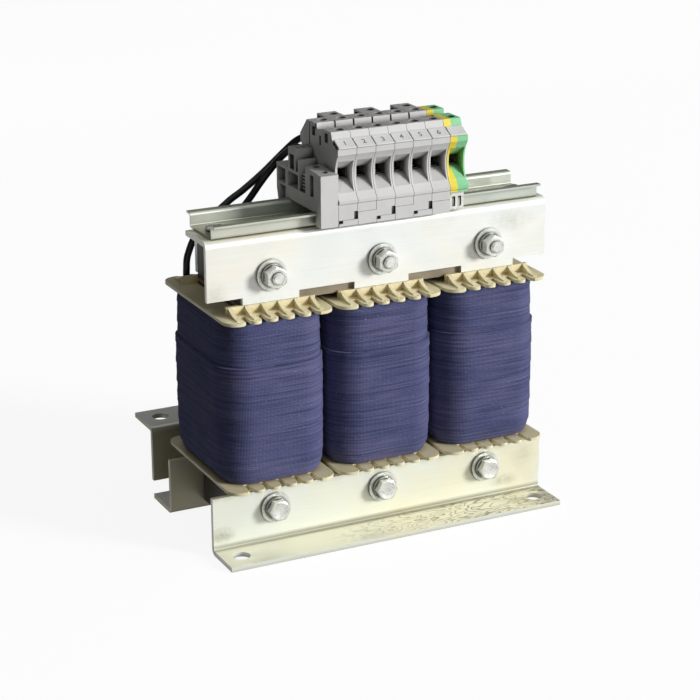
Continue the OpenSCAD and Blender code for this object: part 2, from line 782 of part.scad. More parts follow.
module terminal_2d(hood, low, deep, lip) difference() {
    polygon(concat(foot_outline(low, lip), front_outline(), seat_outline(), deck_outline(deep),
        hood_outline(hood), rear_outline(low)));
    rail_room_2d();
    for (s = [-1, 1]) translate([s * (throat_y + throat_r), throat_mid]) circle(throat_r, $fn = 128);
}

// Middle of the wire holes in a housing of this width
function wire_at(width) = width / 2 + wire_off;

module funnel(width) {
    out = term_reach + 2 * chin_out;
    x = wire_at(width);
    half = wire_w / 2;
    rise = (out - funnel_y) * tan(funnel_flare);
    intersection() {
        along_x(width) polygon([[-out, wire_z - half - rise], [-funnel_y, wire_z - half],
            [-funnel_y, wire_z + half], [-out, wire_z + half + rise]]);
        linear_extrude(deck_rear) polygon([[term_wall, -out], [width - term_wall, -out],
            [width - term_wall, -throat_y], [x + half, -funnel_y], [x - half, -funnel_y],
            [term_wall, -throat_y]]);
    }
    translate([x - half, -funnel_y - eps, wire_z - half]) cube([wire_w, funnel_wall + 2 * eps, wire_w]);
}

module terminal_room(width) {
    x = wire_at(width);
    well_low = chamber_low + chamber_h - eps;
    for (s = [0, 1]) mirror([0, s, 0]) funnel(width);
    translate([x - chamber_w / 2, -chamber_y, chamber_low]) cube([chamber_w, 2 * chamber_y, chamber_h]);
    for (s = [-1, 1]) translate([x, s * screw_off, well_low])
        cylinder(d = well_d, h = deck_rear - well_low + eps);
}

module side_recess(y, z, depth, height) translate([-eps, y, z]) cube([side_deep + eps, depth, height]);

module side_recesses() {
    side_recess(groove_y, groove_low, groove_w, deck_rear - groove_low + eps);
    side_recess(side_rear_y, side_rear_z, side_w, side_h);
    side_recess(-side_front_y, side_front_z, side_w, side_h);
    side_recess(-side_mid_y, side_mid_z, side_mid_w, side_h);
    translate([-eps, deck_edge - riser_in - eps, dip_z])
        cube([slit_w + eps, slit_deep + riser_in + eps, deck_rear - dip_z + eps]);
}

module terminal(i, hood) color(grey_c) translate([row_x + i * term_w, rail_y, rail_z]) difference() {
    along_x(term_w - term_play) terminal_2d(hood, foot_low, 0, i % 2 == 0 ? lip_low : lip_high);
    terminal_room(term_w);
    side_recesses();
    if (hood) {
        translate([wire_at(term_w), socket_off, deck_rear - socket_deep])
            cylinder(d = well_d, h = socket_deep + eps);
        side_recess(hood_reach - term_wall - hood_slot_l, deck_rear - term_wall - hood_slot_h,
            hood_slot_l, hood_slot_h);
    }
    if (i % 2 == 0) foot_notches();
}

// Odd feet have a tall notch above the lip at their right edge, and a short one in it at their left edge
module foot_notches() {
    front = -term_reach - lip_out - eps;
    translate([term_w - notch_w, front, foot_low + lip_low]) cube([notch_w, notch_w, notch_high]);
    translate([-eps, front, foot_low + lip_low - notch_low]) cube([notch_w + eps, notch_w, notch_low]);
}

module terminal_1() terminal(0, false);
module terminal_2() terminal(1, true);
module terminal_3() terminal(2, false);
module terminal_4() terminal(3, true);
module terminal_5() terminal(4, false);
module terminal_6() terminal(5, true);

// Earth terminal: two coloured halves of one housing on a metal foot
module earth_half(x0, width) translate([earth_x, rail_y, rail_z]) difference() {
    translate([x0, 0, 0]) along_x(width) terminal_2d(false, earth_low, valley, 0);
    terminal_room(earth_w);
}

module earth_left_half() color("gold") earth_half(0, earth_left_w);
module earth_right_half() color("mediumseagreen")
    earth_half(earth_left_w, earth_w - earth_left_w - term_play);

module earth_foot() color(steel_c) translate([earth_x + term_wall, rail_y, rail_z]) difference() {
    foot_w = earth_w - 2 * term_wall;
    leg_y = lip_y + rail_fit;
    along_x(foot_w) for (s = [0, 1]) mirror([s, 0]) earth_foot_2d(leg_y);
    for (y = [leg_y, -leg_y - leg_t], k = [-1, 1])
        translate([(foot_w + k * (foot_w + leg_slot) / 3 - leg_slot) / 2, y - eps, foot_low + leg_t])
            cube([leg_slot, leg_t + 2 * eps, rail_h + rail_fit - foot_low - leg_t]);
}

module earth_foot_2d(leg_y) {
    plate_low = rail_h + rail_fit;
    translate([0, plate_low]) square([leg_y + leg_t, earth_low - plate_low]);
    translate([leg_y, foot_low]) square([leg_t, earth_low - foot_low]);
    translate([lip_y - hook, foot_low]) square([hook + rail_fit + leg_t, leg_t]);
}

// Metal inside the terminals
module in_terminals() for (i = [0:term_count])
    translate([row_x + i * term_w + wire_at(i < term_count ? term_w : earth_w), rail_y, rail_z]) children();

module current_bars() color("goldenrod") in_terminals() {
    bus_l = 2 * (screw_off + cage_l / 2);
    translate([-bus_w / 2, -bus_l / 2, bus_low]) cube([bus_w, bus_l, bus_t]);
}

module cage() difference() {
    translate([-cage_w / 2, -cage_l / 2, cage_low]) cube([cage_w, cage_l, cage_h]);
    translate([cage_t - cage_w / 2, -cage_l / 2 - eps, cage_low + cage_t])
        cube([cage_w - 2 * cage_t, cage_l + 2 * eps, cage_h - 2 * cage_t]);
    translate([0, 0, cage_low]) cylinder(d = clamp_d + metal_fit, h = cage_h + eps);
}

module clamp_cages() color("lightsteelblue") in_terminals()
    for (s = [-1, 1]) translate([0, s * screw_off, 0]) cage();

module clamp_screw() difference() {
    union() {
        cylinder(d = clamp_d, h = clamp_l + eps);
        translate([0, 0, clamp_l]) cylinder(d = clamp_head, h = clamp_head_h);
    }
    translate([0, 0, clamp_l + clamp_head_h])
        cube([clamp_head + eps, driver_w, 2 * driver_deep], center = true);
}

module clamp_screws() color(steel_c) in_terminals()
    for (s = [-1, 1]) translate([0, s * screw_off, bus_top]) clamp_screw();

// Marker strip on the slanted seats of all terminals
module marker_strip() color("whitesmoke")
    translate([row_x + strip_end, rail_y - nose_y, rail_z + nose_high])
    rotate([atan2(seat_rise, seat_run), 0, 0]) translate([0, strip_edge, 0])
        cube([term_count * term_w + earth_w - 2 * strip_end, seat_l - 2 * strip_edge, strip_t]);

// End clamp: block, ridge, pillar and leg moulded in one, with bays that open towards the left
module clamp_2d() difference() {
    ridge_end = ridge_y + pocket_wall;
    pillar_end = pillar_from + pillar_d;
    polygon([[-term_reach, foot_low], [-term_reach, block_front],
        [-block_end, block_back], [-block_end, leg_high],
        [ridge_y, leg_high], [ridge_y, ridge_high], [ridge_end, ridge_high], [ridge_end, leg_high],
        [pillar_from, leg_high], [pillar_from, pillar_high],
        [pillar_end, pillar_high], [pillar_end, leg_high],
        [clamp_rear, leg_high], [clamp_rear, leg_taper], [clamp_rear - leg_in, foot_low]]);
    rail_room_2d();
}

module clamp_bay(y0, y1, z0, z1, depth) translate([-eps, y0, z0]) cube([depth + eps, y1 - y0, z1 - z0]);

module clamp_bays() {
    deep = clamp_w - clamp_web;
    bay_top = leg_high - pocket_wall;
    leg_end = clamp_rear - pocket_wall;
    hole_bay = -clamp_hole_y - pocket_w / 2;
    pillar_bay = pillar_from + pocket_wall;
    pillar_top = pillar_high - 2 * pocket_wall;
    clamp_bay(-block_end, ridge_y, clamp_floor, leg_high + eps, deep);
    clamp_bay(ridge_y + pocket_wall, post_y - pocket_wall, clamp_floor, bay_top, deep);
    clamp_bay(post_y + pocket_wall, leg_end, clamp_floor, bay_top, deep);
    clamp_bay(post_y + pocket_wall, leg_end - leg_in, foot_low + leg_in, clamp_floor - pocket_wall, deep);
    clamp_bay(hole_bay, hole_bay + pocket_w, clamp_floor, block_front - pocket_wall, deep);
    clamp_bay(pillar_bay, pillar_bay + pillar_d - 2 * pocket_wall, leg_high, pillar_top, pillar_pocket);
}

module clamp_ribs() {
    rib_gap = (leg_high - clamp_floor) / rib_n;
    for (k = [0:rib_n - 1]) translate([pocket_wall, -block_end - eps, clamp_floor + (k + 1 / 2) * rib_gap])
        cube([clamp_w - pocket_wall - term_play, ridge_y + block_end + 2 * eps, rib_gap / 2]);
}

module end_clamp() color(grey_c) translate([clamp_x, rail_y, rail_z]) difference() {
    union() {
        difference() {
            along_x(clamp_w - term_play) clamp_2d();
            clamp_bays();
        }
        clamp_ribs();
    }
    for (y = [-clamp_hole_gap, clamp_hole_gap] / 2)
        translate([clamp_w / 2, y - clamp_hole_y, block_front - clamp_hole_deep])
            cylinder(d = clamp_d, h = clamp_hole_deep + block_back - block_front + eps);
    translate([clamp_w / 2, clamp_screw_y, clamp_floor]) cylinder(d = clamp_d + metal_fit, h = pillar_high);
    translate([clamp_w / 2, clamp_screw_y, pillar_high - clamp_head_h - metal_fit])
        cylinder(d = clamp_head + 2 * metal_fit, h = pillar_high);
}

module end_clamp_screw() color(steel_c) translate([clamp_x + clamp_w / 2, rail_y + clamp_screw_y, rail_z])
    translate([0, 0, pillar_high - clamp_head_h - clamp_l]) clamp_screw();

// Leads: round section swept along a smooth curve through the route's points
function curve(p, i, t) = let (
    n = len(p) - 1,
    a = p[max(i - 1, 0)],
    b = p[i],
    c = p[min(i + 1, n)],
    d = p[min(i + 2, n)])
    0.5 * (2 * b + (c - a) * t + (2 * a - 5 * b + 4 * c - d) * t * t + (3 * b - a - 3 * c + d) * t * t * t);

function smooth(p) = [
    for (i = [0:len(p) - 2], k = [0:lead_steps - 1]) curve(p, i, k / lead_steps),
    p[len(p) - 1]];

function unit(v) = v / norm(v);

function ring_at(p, i, r) = let (
    n = len(p) - 1,
    ahead = unit(p[min(i + 1, n)] - p[max(i - 1, 0)]),
    side = unit(cross(ahead, lead_about)),
    up = cross(ahead, side))
    [for (k = [0:lead_sides - 1]) let (turn = 360 * k / lead_sides)
        p[i] + r * (cos(turn) * side + sin(turn) * up)];

// The first two and the last few rings are the bare wire, the others the insulation
module sweep(p) {
    rings = [for (i = [0:len(p) - 1])
        each ring_at(p, i, (i < 2 || i > len(p) - 1 - lead_steps ? wire_d : lead_d) / 2)];
    last = (len(p) - 1) * lead_sides;
    sides = [for (i = [0:len(p) - 2], k = [0:lead_sides - 1])
        let (j = (k + 1) % lead_sides, a = i * lead_sides, b = a + lead_sides)
        each [[a + k, b + k, a + j], [a + j, b + k, b + j]]];
    ends = [[for (k = [0:lead_sides - 1]) k], [for (k = [lead_sides - 1:-1:0]) last + k]];
    polyhedron(rings, concat(sides, ends));
}

function lead_x(i) = phases[floor(i / 2)] + slot_mids[lead_slot[i]];
function terminal_x(i) = row_x + lead_terminal[i] * term_w + wire_at(term_w);

function lead_route(i) = let (
    start = [lead_x(i), lead_y, lead_low],
    end = [terminal_x(i), lead_in + lead_straight, lead_z],
    way = end - start) concat(
    [start, start + [0, 0, lead_d]],
    [for (f = i % 2 == 0 ? lead_over : lead_under) start + [f[0] * way[0], f[2] * way[1], f[1] * way[2]]],
    [for (y = [lead_straight, cage_l + metal_fit, 0]) [terminal_x(i), lead_in + y, lead_z]]);

module lead(i) color("black") sweep(concat(
    [for (z = [coil_top + coil_fit, lead_low]) [lead_x(i), lead_y, z]],
    smooth(lead_route(i))));

module lead_1() lead(0);
module lead_2() lead(1);
module lead_3() lead(2);
module lead_4() lead(3);
module lead_5() lead(4);
module lead_6() lead(5);

core_e_stack();
upper_yoke();
gap_spacers();
bobbin_left();
bobbin_center();
bobbin_right();
winding_left();
winding_center();
winding_right();
tape_left();
tape_center();
tape_right();
front_foot();
rear_foot();
rear_bracket();
upper_front_clamp();
upper_rear_bar();
upper_bolts();
upper_nuts();
upper_washers();
lower_bolts();
lower_nuts();
lower_washers();
spring_washers();
spacer_sleeves();
din_rail();
rail_screws();
end_clamp();
end_clamp_screw();
terminal_1();
terminal_2();
terminal_3();
terminal_4();
terminal_5();
terminal_6();
earth_left_half();
earth_right_half();
earth_foot();
current_bars();
clamp_cages();
clamp_screws();
marker_strip();
lead_1();
lead_2();
lead_3();
lead_4();
lead_5();
lead_6();
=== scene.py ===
import math

import bmesh
import bpy
from mathutils import Matrix, Vector, noise


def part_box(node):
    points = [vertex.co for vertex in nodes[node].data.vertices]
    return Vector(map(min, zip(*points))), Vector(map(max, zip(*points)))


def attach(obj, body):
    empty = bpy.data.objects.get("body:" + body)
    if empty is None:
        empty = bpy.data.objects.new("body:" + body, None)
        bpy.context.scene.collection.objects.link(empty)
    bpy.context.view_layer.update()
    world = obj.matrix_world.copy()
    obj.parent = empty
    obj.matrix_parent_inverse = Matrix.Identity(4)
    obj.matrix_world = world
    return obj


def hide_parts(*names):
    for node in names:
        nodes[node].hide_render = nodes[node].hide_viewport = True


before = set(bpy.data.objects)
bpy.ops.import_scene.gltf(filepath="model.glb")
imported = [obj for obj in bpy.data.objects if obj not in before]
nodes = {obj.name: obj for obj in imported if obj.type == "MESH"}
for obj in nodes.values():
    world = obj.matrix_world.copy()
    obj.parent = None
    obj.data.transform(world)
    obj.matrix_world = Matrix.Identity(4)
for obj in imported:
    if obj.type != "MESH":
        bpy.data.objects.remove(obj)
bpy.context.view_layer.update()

MM = 0.001
SIDES = ("left", "center", "right")
LIMB_PITCH = 60.0
PHASE_X = (-LIMB_PITCH, 0.0, LIMB_PITCH)


def box_mm(node):
    """The lowest and the highest corner of a node's box, in mm."""
    return [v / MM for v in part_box(node)]


def show(obj):
    bpy.context.scene.collection.objects.link(obj)


def axes_matrix(x, y, z, place):
    """The matrix that lays an object's axes along x, y and z, with its origin at a place."""
    return Matrix((
        (x.x, y.x, z.x, place.x),
        (x.y, y.y, z.y, place.y),
        (x.z, y.z, z.z, place.z),
        (0, 0, 0, 1)))


# Camera, at the photograph's angle: turn, height, roll, and the offset of the pivot in view space
PHOTO_PX = 700
FOCAL_PX = 2123.71
SENSOR_MM = 36.0
CAM_AZ = math.radians(-26.047)
CAM_EL = math.radians(19.008)
CAM_ROLL = math.radians(-0.306)
CAM_OFFSET = (2.685, 5.384, 1091.237)
CAM_PIVOT = Vector((0, 0.25, 90))


def add_camera():
    ca, sa = math.cos(CAM_AZ), math.sin(CAM_AZ)
    ce, se = math.cos(CAM_EL), math.sin(CAM_EL)
    right = Vector((ca, sa, 0))
    back = Vector((sa * ce, -ca * ce, se))
    up = back.cross(right)
    cr, sr = math.cos(CAM_ROLL), math.sin(CAM_ROLL)
    right, up = right * cr + up * sr, up * cr - right * sr
    tx, ty, tz = CAM_OFFSET
    place = (CAM_PIVOT - right * tx - up * ty + back * tz) * MM
    data = bpy.data.cameras.new("camera")
    data.sensor_width = SENSOR_MM
    data.lens = FOCAL_PX / PHOTO_PX * SENSOR_MM
    data.clip_start = 0.01
    data.clip_end = 50
    cam = bpy.data.objects.new("camera", data)
    cam.matrix_world = axes_matrix(right, up, back, place)
    show(cam)
    bpy.context.scene.camera = cam


add_camera()


# Shader helpers
def set_range(node, levels):
    for key, value in zip(("From Min", "From Max", "To Min", "To Max"), levels):
        node.inputs[key].default_value = value


class Shader:
    """A material with a Principled shader and a few shorthand calls for its nodes."""

    def __init__(self, name, metallic=0.0, roughness=0.5):
        self.mat = bpy.data.materials.new(name)
        self.mat.use_nodes = True
        self.tree = self.mat.node_tree
        self.bsdf = self.tree.nodes["Principled BSDF"]
        self.set(Metallic=metallic, Roughness=roughness)
        self.at = self.add("ShaderNodeTexCoord").outputs["Object"]

    def set(self, **values):
        for key, value in values.items():
            self.bsdf.inputs[key.replace("_", " ")].default_value = value

    def add(self, kind, **settings):
        made = self.tree.nodes.new(kind)
        for key, value in settings.items():
            setattr(made, key, value)
        return made

    def link(self, out, into):
        self.tree.links.new(out, into)

    def feed(self, socket, value):
        if isinstance(value, (int, float, tuple, list)):
            socket.default_value = value
        else:
            self.link(value, socket)

    def scaled(self, scale, source=None):
        made = self.add("ShaderNodeMapping")
        made.inputs["Scale"].default_value = scale
        self.link(source or self.at, made.inputs["Vector"])
        return made.outputs["Vector"]

    def noise(self, scale, detail=4.0, rough=0.55, source=None, distort=0.0):
        made = self.add("ShaderNodeTexNoise")
        made.inputs["Scale"].default_value = scale
        made.inputs["Detail"].default_value = detail
        made.inputs["Roughness"].default_value = rough
        made.inputs["Distortion"].default_value = distort
        self.link(source or self.at, made.inputs["Vector"])
        return made.outputs["Fac"]

    def wave(self, scale, direction, source=None, distort=0.0, detail=2.0):
        made = self.add("ShaderNodeTexWave", wave_type="BANDS", bands_direction=direction)
        made.inputs["Scale"].default_value = scale
        made.inputs["Distortion"].default_value = distort
        made.inputs["Detail"].default_value = detail
        self.link(source or self.at, made.inputs["Vector"])
        return made.outputs["Fac"]

    def math(self, operation, a, b=0.0, clamp=False):
        made = self.add("ShaderNodeMath", operation=operation, use_clamp=clamp)
        self.feed(made.inputs[0], a)
        self.feed(made.inputs[1], b)
        return made.outputs[0]

    def ramp(self, fac, *stops):
        made = self.add("ShaderNodeValToRGB")
        items = made.color_ramp.elements
        while len(items) < len(stops):
            items.new(1.0)
        for item, (place, colour) in zip(items, stops):
            item.position = place
            item.color = colour if len(colour) == 4 else (*colour, 1)
        self.link(fac, made.inputs["Fac"])
        return made.outputs["Color"]

    def grey(self, fac, low, high, start=0.0, end=1.0):
        made = self.add("ShaderNodeMapRange", clamp=True)
        self.link(fac, made.inputs["Value"])
        set_range(made, (start, end, low, high))
        return made.outputs["Result"]

    def mix(self, fac, a, b, blend="MIX"):
        made = self.add("ShaderNodeMix", data_type="RGBA", blend_type=blend)
        self.feed(made.inputs["Factor"], fac)
        for socket, value in ((made.inputs[6], a), (made.inputs[7], b)):
            self.feed(socket, (*value, 1) if isinstance(value, tuple) and len(value) == 3 else value)
        return made.outputs[2]

    def blot(self, place, reach, soft=1.0):
        """1 at a place in mm, fading to 0 at its reach along each axis."""
        made = self.add("ShaderNodeMapping", vector_type="POINT")
        made.inputs["Location"].default_value = [-p / r for p, r in zip(place, reach)]
        made.inputs["Scale"].default_value = [1 / (r * MM) for r in reach]
        self.link(self.at, made.inputs["Vector"])
        size = self.add("ShaderNodeVectorMath", operation="LENGTH")
        self.link(made.outputs["Vector"], size.inputs[0])
        return self.grey(size.outputs["Value"], 1.0, 0.0, 1.0 - soft, 1.0)

    def facing(self, axis):
        """How far the surface's normal points along an axis."""
        geo = self.add("ShaderNodeNewGeometry")
        split = self.add("ShaderNodeSeparateXYZ")
        self.link(geo.outputs["Normal"], split.inputs[0])
        return split.outputs[axis]

    def corner(self, reach_mm):
        """1 deep in corners and under overhangs, 0 on open faces."""
        made = self.add("ShaderNodeAmbientOcclusion", samples=8)
        made.inputs["Distance"].default_value = reach_mm * MM
        return self.math("SUBTRACT", 1.0, made.outputs["AO"], clamp=True)

    def colour(self, value):
        self.feed(self.bsdf.inputs["Base Color"], value)

    def rough(self, value):
        self.feed(self.bsdf.inputs["Roughness"], value)

    def bump(self, height, strength=0.3, distance=0.0002):
        made = self.add("ShaderNodeBump")
        made.inputs["Strength"].default_value = strength
        made.inputs["Distance"].default_value = distance
        self.link(height, made.inputs["Height"])
        self.link(made.outputs["Normal"], self.bsdf.inputs["Normal"])


def srgb(r, g, b):
    """A colour as it is seen on screen, in the linear values that shaders take."""
    levels = (c / 255 for c in (r, g, b))
    return tuple(c / 12.92 if c <= 0.04045 else ((c + 0.055) / 1.055) ** 2.4 for c in levels)


# Materials
# Darker olive-grey patches on the zinc: a place and a reach along each axis, both in mm, and a strength
CLAMP_MARKS = (
    ((-89, -29.75, 134), (7, 5, 9), 0.35),
    ((74, -29.75, 152), (16, 5, 7), 0.3))
FOOT_MARKS = (
    ((-88.5, -29.75, 10), (8, 5, 5), 0.85),
    ((72, -29.75, 10), (10, 5, 4), 0.6),
    ((84, -29.75, 22), (9, 5, 9), 0.3))


def zinc(name, cool, plain, warm, marks=(), metallic=0.3):
    """Clear-passivated zinc: cool and warm clouds, fine rolling grain, darker olive-grey patches at chosen
    places, a painted warm tint on upward faces and painted shade in corners.
    """
    s = Shader(name, metallic=metallic)
    s.set(Specular_IOR_Level=0.25)
    cloud = s.noise(18, 4, 0.5, distort=0.3)
    base = s.ramp(cloud, (0.32, srgb(*cool)), (0.5, srgb(*plain)), (0.7, srgb(*warm)))
    grain = s.noise(1.0, 3, 0.6, source=s.scaled((30, 1800, 1800)))
    base = s.mix(s.grey(grain, 0.0, 0.10, 0.4, 0.75), base, srgb(178, 178, 168))
    # painted light: upward faces get a warm, slightly darker tint for how the lamp falls on them
    flat = s.grey(s.facing("Z"), 0.0, 1.0, 0.7, 0.95)
    base = s.mix(s.math("MULTIPLY", flat, 0.6), base, srgb(255, 251, 226), "MULTIPLY")
    for place, reach, depth in marks:
        dark_patch = s.math("MULTIPLY", s.blot(place, reach), s.grey(s.noise(300, 4), 0.25, 1.0, 0.3, 0.65))
        base = s.mix(s.math("MULTIPLY", dark_patch, depth), base, srgb(140, 136, 108))
    # painted shade: corners and the undersides of overhangs darken towards olive
    base = s.mix(s.grey(s.corner(5), 0.0, 0.75, 0.22, 0.7), base, srgb(104, 98, 70))
    s.rough(s.grey(s.noise(70, 4, 0.6), 0.36, 0.5, 0.3, 0.7))
    return s, base, grain, flat


def zinc_sheet():
    s, base, grain, _ = zinc("zinc_sheet", (234, 238, 236), (238, 240, 235), (241, 238, 226), CLAMP_MARKS)
    s.colour(base)
    s.bump(grain, 0.05, 0.00005)
    return s.mat


def foot_zinc():
    """The front foot's zinc, with the dried contour lines that run over its flange to the right hole, painted
    light on its upward faces and painted shade along the crease where the flange meets the wall.
    """
    s, base, grain, flat = zinc("zinc_foot", (227, 231, 222), (231, 233, 218), (234, 230, 202), FOOT_MARKS)
    # painted light: upward faces lighter and warmer
    base = s.mix(s.math("MULTIPLY", flat, 0.9), base, srgb(255, 253, 232))
    swirl = s.noise(1.0, 2, 0.4, source=s.scaled((48, 150, 150)), distort=0.7)
    rings = s.math("PINGPONG", s.math("MULTIPLY", swirl, 9.0), 0.5)
    line = s.grey(rings, 1.0, 0.0, 0.04, 0.2)
    near = s.math("MULTIPLY", s.blot((70, -43, 2.5), (110, 26, 14), 1.0), 1.6, clamp=True)
    streak = s.math("MULTIPLY", s.math("MULTIPLY", line, near), flat)
    base = s.mix(s.math("MULTIPLY", streak, 0.8), base, srgb(122, 116, 66))
    stain = s.math("MULTIPLY", s.blot((84, -38, 2.5), (24, 15, 12)), s.grey(swirl, 0.2, 1.0, 0.35, 0.6))
    base = s.mix(s.math("MULTIPLY", s.math("MULTIPLY", stain, flat), 0.7), base, srgb(122, 113, 66))
    # painted shade: a dark olive line along the crease where the flange meets the wall
    fold_shade = s.blot((0, -30.6, 3.4), (220, 2.6, 2.6), 0.8)
    s.colour(s.mix(s.math("MULTIPLY", fold_shade, 0.75), base, srgb(108, 103, 72)))
    s.bump(s.math("ADD", grain, s.math("MULTIPLY", streak, 0.5)), 0.07, 0.00005)
    return s.mat


def shaded_zinc():
    """The rear angles' zinc in a darker tone as painted shade, with painted light on its upward faces."""
    # painted shade: the same zinc in darker colours
    s, base, grain, flat = zinc("zinc_painted_shade", (158, 157, 140), (172, 169, 148), (178, 171, 138))
    # painted light: upward faces lighter
    s.colour(s.mix(flat, base, srgb(230, 232, 226)))
    s.bump(grain, 0.06, 0.00005)
    return s.mat


def rail_zinc():
    # The rail's darker tone is partly its own duller zinc and partly painted shade.
    s, base, grain, flat = zinc("zinc_rail", (182, 188, 180), (190, 195, 185), (196, 196, 182),
                                metallic=0.55)
    # painted shade: upward faces darkened further
    s.colour(s.mix(s.math("MULTIPLY", flat, 0.45), base, srgb(146, 151, 141)))
    s.bump(grain, 0.06, 0.00005)
    return s.mat


def fastener_steel():
    s = Shader("zinc_fastener", metallic=0.9)
    cloud = s.noise(160, 4, 0.6)
    base = s.ramp(cloud, (0.3, srgb(196, 198, 192)), (0.7, srgb(226, 227, 220)))
    pits = s.noise(1100, 2, 0.5)
    base = s.mix(s.grey(pits, 0.0, 0.5, 0.56, 0.72), base, srgb(96, 95, 84))
    # painted shade: nearly black in the corners around heads, nuts and washers
    s.colour(s.mix(s.grey(s.corner(3), 0.0, 0.95, 0.18, 0.5), base, srgb(30, 29, 25)))
    s.rough(s.grey(s.noise(420, 3), 0.3, 0.44, 0.3, 0.7))
    s.bump(pits, 0.1, 0.00008)
    return s.mat


def lamination():
    """Stacked steel sheets: fine dark lines on the edges, clouds on the faces, specks of rust on both."""
    s = Shader("lamination", metallic=0.2)
    sheets = s.wave(314, "Y", distort=0.15)
    cloud = s.noise(60, 4, 0.6)
    base = s.ramp(cloud, (0.3, srgb(122, 112, 94)), (0.7, srgb(154, 143, 124)))
    edge = s.grey(s.math("ABSOLUTE", s.facing("Y")), 1.0, 0.0, 0.5, 0.9)
    base = s.mix(edge, base, srgb(54, 54, 50))
    dark = s.math("MULTIPLY", edge, s.grey(sheets, 0.75, 0.0, 0.0, 0.5))
    base = s.mix(dark, base, srgb(30, 29, 26))
    rust = s.noise(300, 5, 0.7)
    s.colour(s.mix(s.grey(rust, 0.0, 0.4, 0.6, 0.75), base, srgb(104, 80, 54)))
    s.rough(s.grey(cloud, 0.45, 0.65, 0.3, 0.7))
    s.bump(s.math("MULTIPLY", sheets, edge), 0.25, 0.0001)
    return s.mat


def bobbin_plastic():
    s = Shader("bobbin_plastic", roughness=0.42)
    s.set(Subsurface_Weight=0.1, Subsurface_Radius=(0.003, 0.0022, 0.001), Subsurface_Scale=0.4)
    cloud = s.noise(70, 4, 0.55)
    base = s.ramp(cloud, (0.3, srgb(226, 215, 172)), (0.7, srgb(238, 229, 192)))
    spots = s.noise(520, 3, 0.6)
    base = s.mix(s.grey(spots, 0.0, 0.3, 0.64, 0.78), base, srgb(206, 186, 132))
    # painted shade: a warm darker tone in corners and recesses
    s.colour(s.mix(s.grey(s.corner(5), 0.0, 0.8, 0.25, 0.85), base, srgb(166, 140, 82)))
    s.rough(s.grey(s.noise(300, 3), 0.36, 0.52, 0.3, 0.7))
    s.bump(s.noise(900, 3), 0.06, 0.0001)
    return s.mat


def plastic(name, low, high, mark, shade, top=0.0):
    """Moulded plastic: faint clouds and specks, a fine texture, shaded corners and, with top, shaded tops."""
    s = Shader(name, roughness=0.45)
    s.set(Specular_IOR_Level=0.2)
    cloud = s.noise(55, 4, 0.6)
    base = s.ramp(cloud, (0.3, srgb(*low)), (0.7, srgb(*high)))
    spots = s.noise(700, 3, 0.6)
    base = s.mix(s.grey(spots, 0.0, 0.3, 0.62, 0.8), base, srgb(*mark))
    base = s.mix(s.grey(s.facing("Z"), 0.0, top, 0.7, 0.95), base, srgb(*shade))
    s.colour(s.mix(s.grey(s.corner(7), 0.0, 0.92, 0.3, 0.6), base, srgb(*shade)))
    s.rough(s.grey(s.noise(260, 3), 0.4, 0.55, 0.3, 0.7))
    s.bump(s.noise(2400, 3), 0.06, 0.0001)
    return s.mat


def insulation():
    s = Shader("black_insulation", roughness=0.42)
    s.set(Specular_IOR_Level=0.25)
    cloud = s.noise(120, 4, 0.6)
    s.colour(s.ramp(cloud, (0.3, srgb(14, 15, 18)), (0.75, srgb(28, 29, 33))))
    s.rough(s.grey(s.noise(500, 3), 0.3, 0.5, 0.3, 0.7))
    s.bump(s.noise(1500, 2), 0.05, 0.0001)
    return s.mat


def metal(name, low, high, roughness):
    s = Shader(name, metallic=0.9)
    cloud = s.noise(240, 4, 0.6)
    s.colour(s.ramp(cloud, (0.3, srgb(*low)), (0.7, srgb(*high))))
    s.rough(s.grey(s.noise(500, 3), roughness, roughness + 0.15, 0.3, 0.7))
    s.bump(cloud, 0.05, 0.0001)
    return s.mat


def board():
    s = Shader("spacer_board", roughness=0.8)
    cloud = s.noise(260, 5, 0.7)
    s.colour(s.ramp(cloud, (0.3, srgb(150, 122, 84)), (0.7, srgb(178, 150, 108))))
    s.bump(cloud, 0.2, 0.0002)
    return s.mat


def cloth_tape():
    """Navy cotton tape: fine weave, horizontal strands, soft clouds and a few pale flecks."""
    s = Shader("navy_tape", roughness=0.88)
    s.set(Sheen_Weight=0.12, Sheen_Roughness=0.5, Sheen_Tint=(0.6, 0.64, 0.95, 1))
    s.set(Specular_IOR_Level=0.2)
    uv = s.add("ShaderNodeUVMap", uv_map="wrap").outputs["UV"]
    weft = s.wave(1.0, "Y", source=s.scaled((260, 470, 1), uv), distort=0.6, detail=2)
    warp = s.wave(1.0, "X", source=s.scaled((430, 200, 1), uv), distort=0.8, detail=2)
    weave = s.math("MULTIPLY", s.math("ADD", weft, s.math("MULTIPLY", warp, 0.5)), 0.67)
    strand = s.noise(1.0, 4, 0.6, source=s.scaled((22, 950, 1), uv))
    cloud = s.noise(1.0, 4, 0.55, source=s.scaled((34, 60, 1), uv))
    base = s.ramp(cloud, (0.28, srgb(82, 87, 130)), (0.5, srgb(97, 100, 143)),
                  (0.75, srgb(114, 110, 152)))
    base = s.mix(s.grey(weave, 0.55, 0.0, 0.1, 0.8), base, srgb(38, 40, 66))
    base = s.mix(s.grey(strand, 0.6, 0.0, 0.32, 0.53), base, srgb(34, 36, 62))
    base = s.mix(s.grey(strand, 0.0, 0.4, 0.54, 0.74), base, srgb(128, 126, 156))
    fleck = s.noise(1.0, 2, 0.5, source=s.scaled((700, 1000, 1), uv))
    s.colour(s.mix(s.grey(fleck, 0.0, 0.7, 0.68, 0.78), base, srgb(168, 166, 184)))
    s.bump(s.math("ADD", weave, s.math("MULTIPLY", strand, 2.0)), 0.6, 0.0004)
    return s.mat


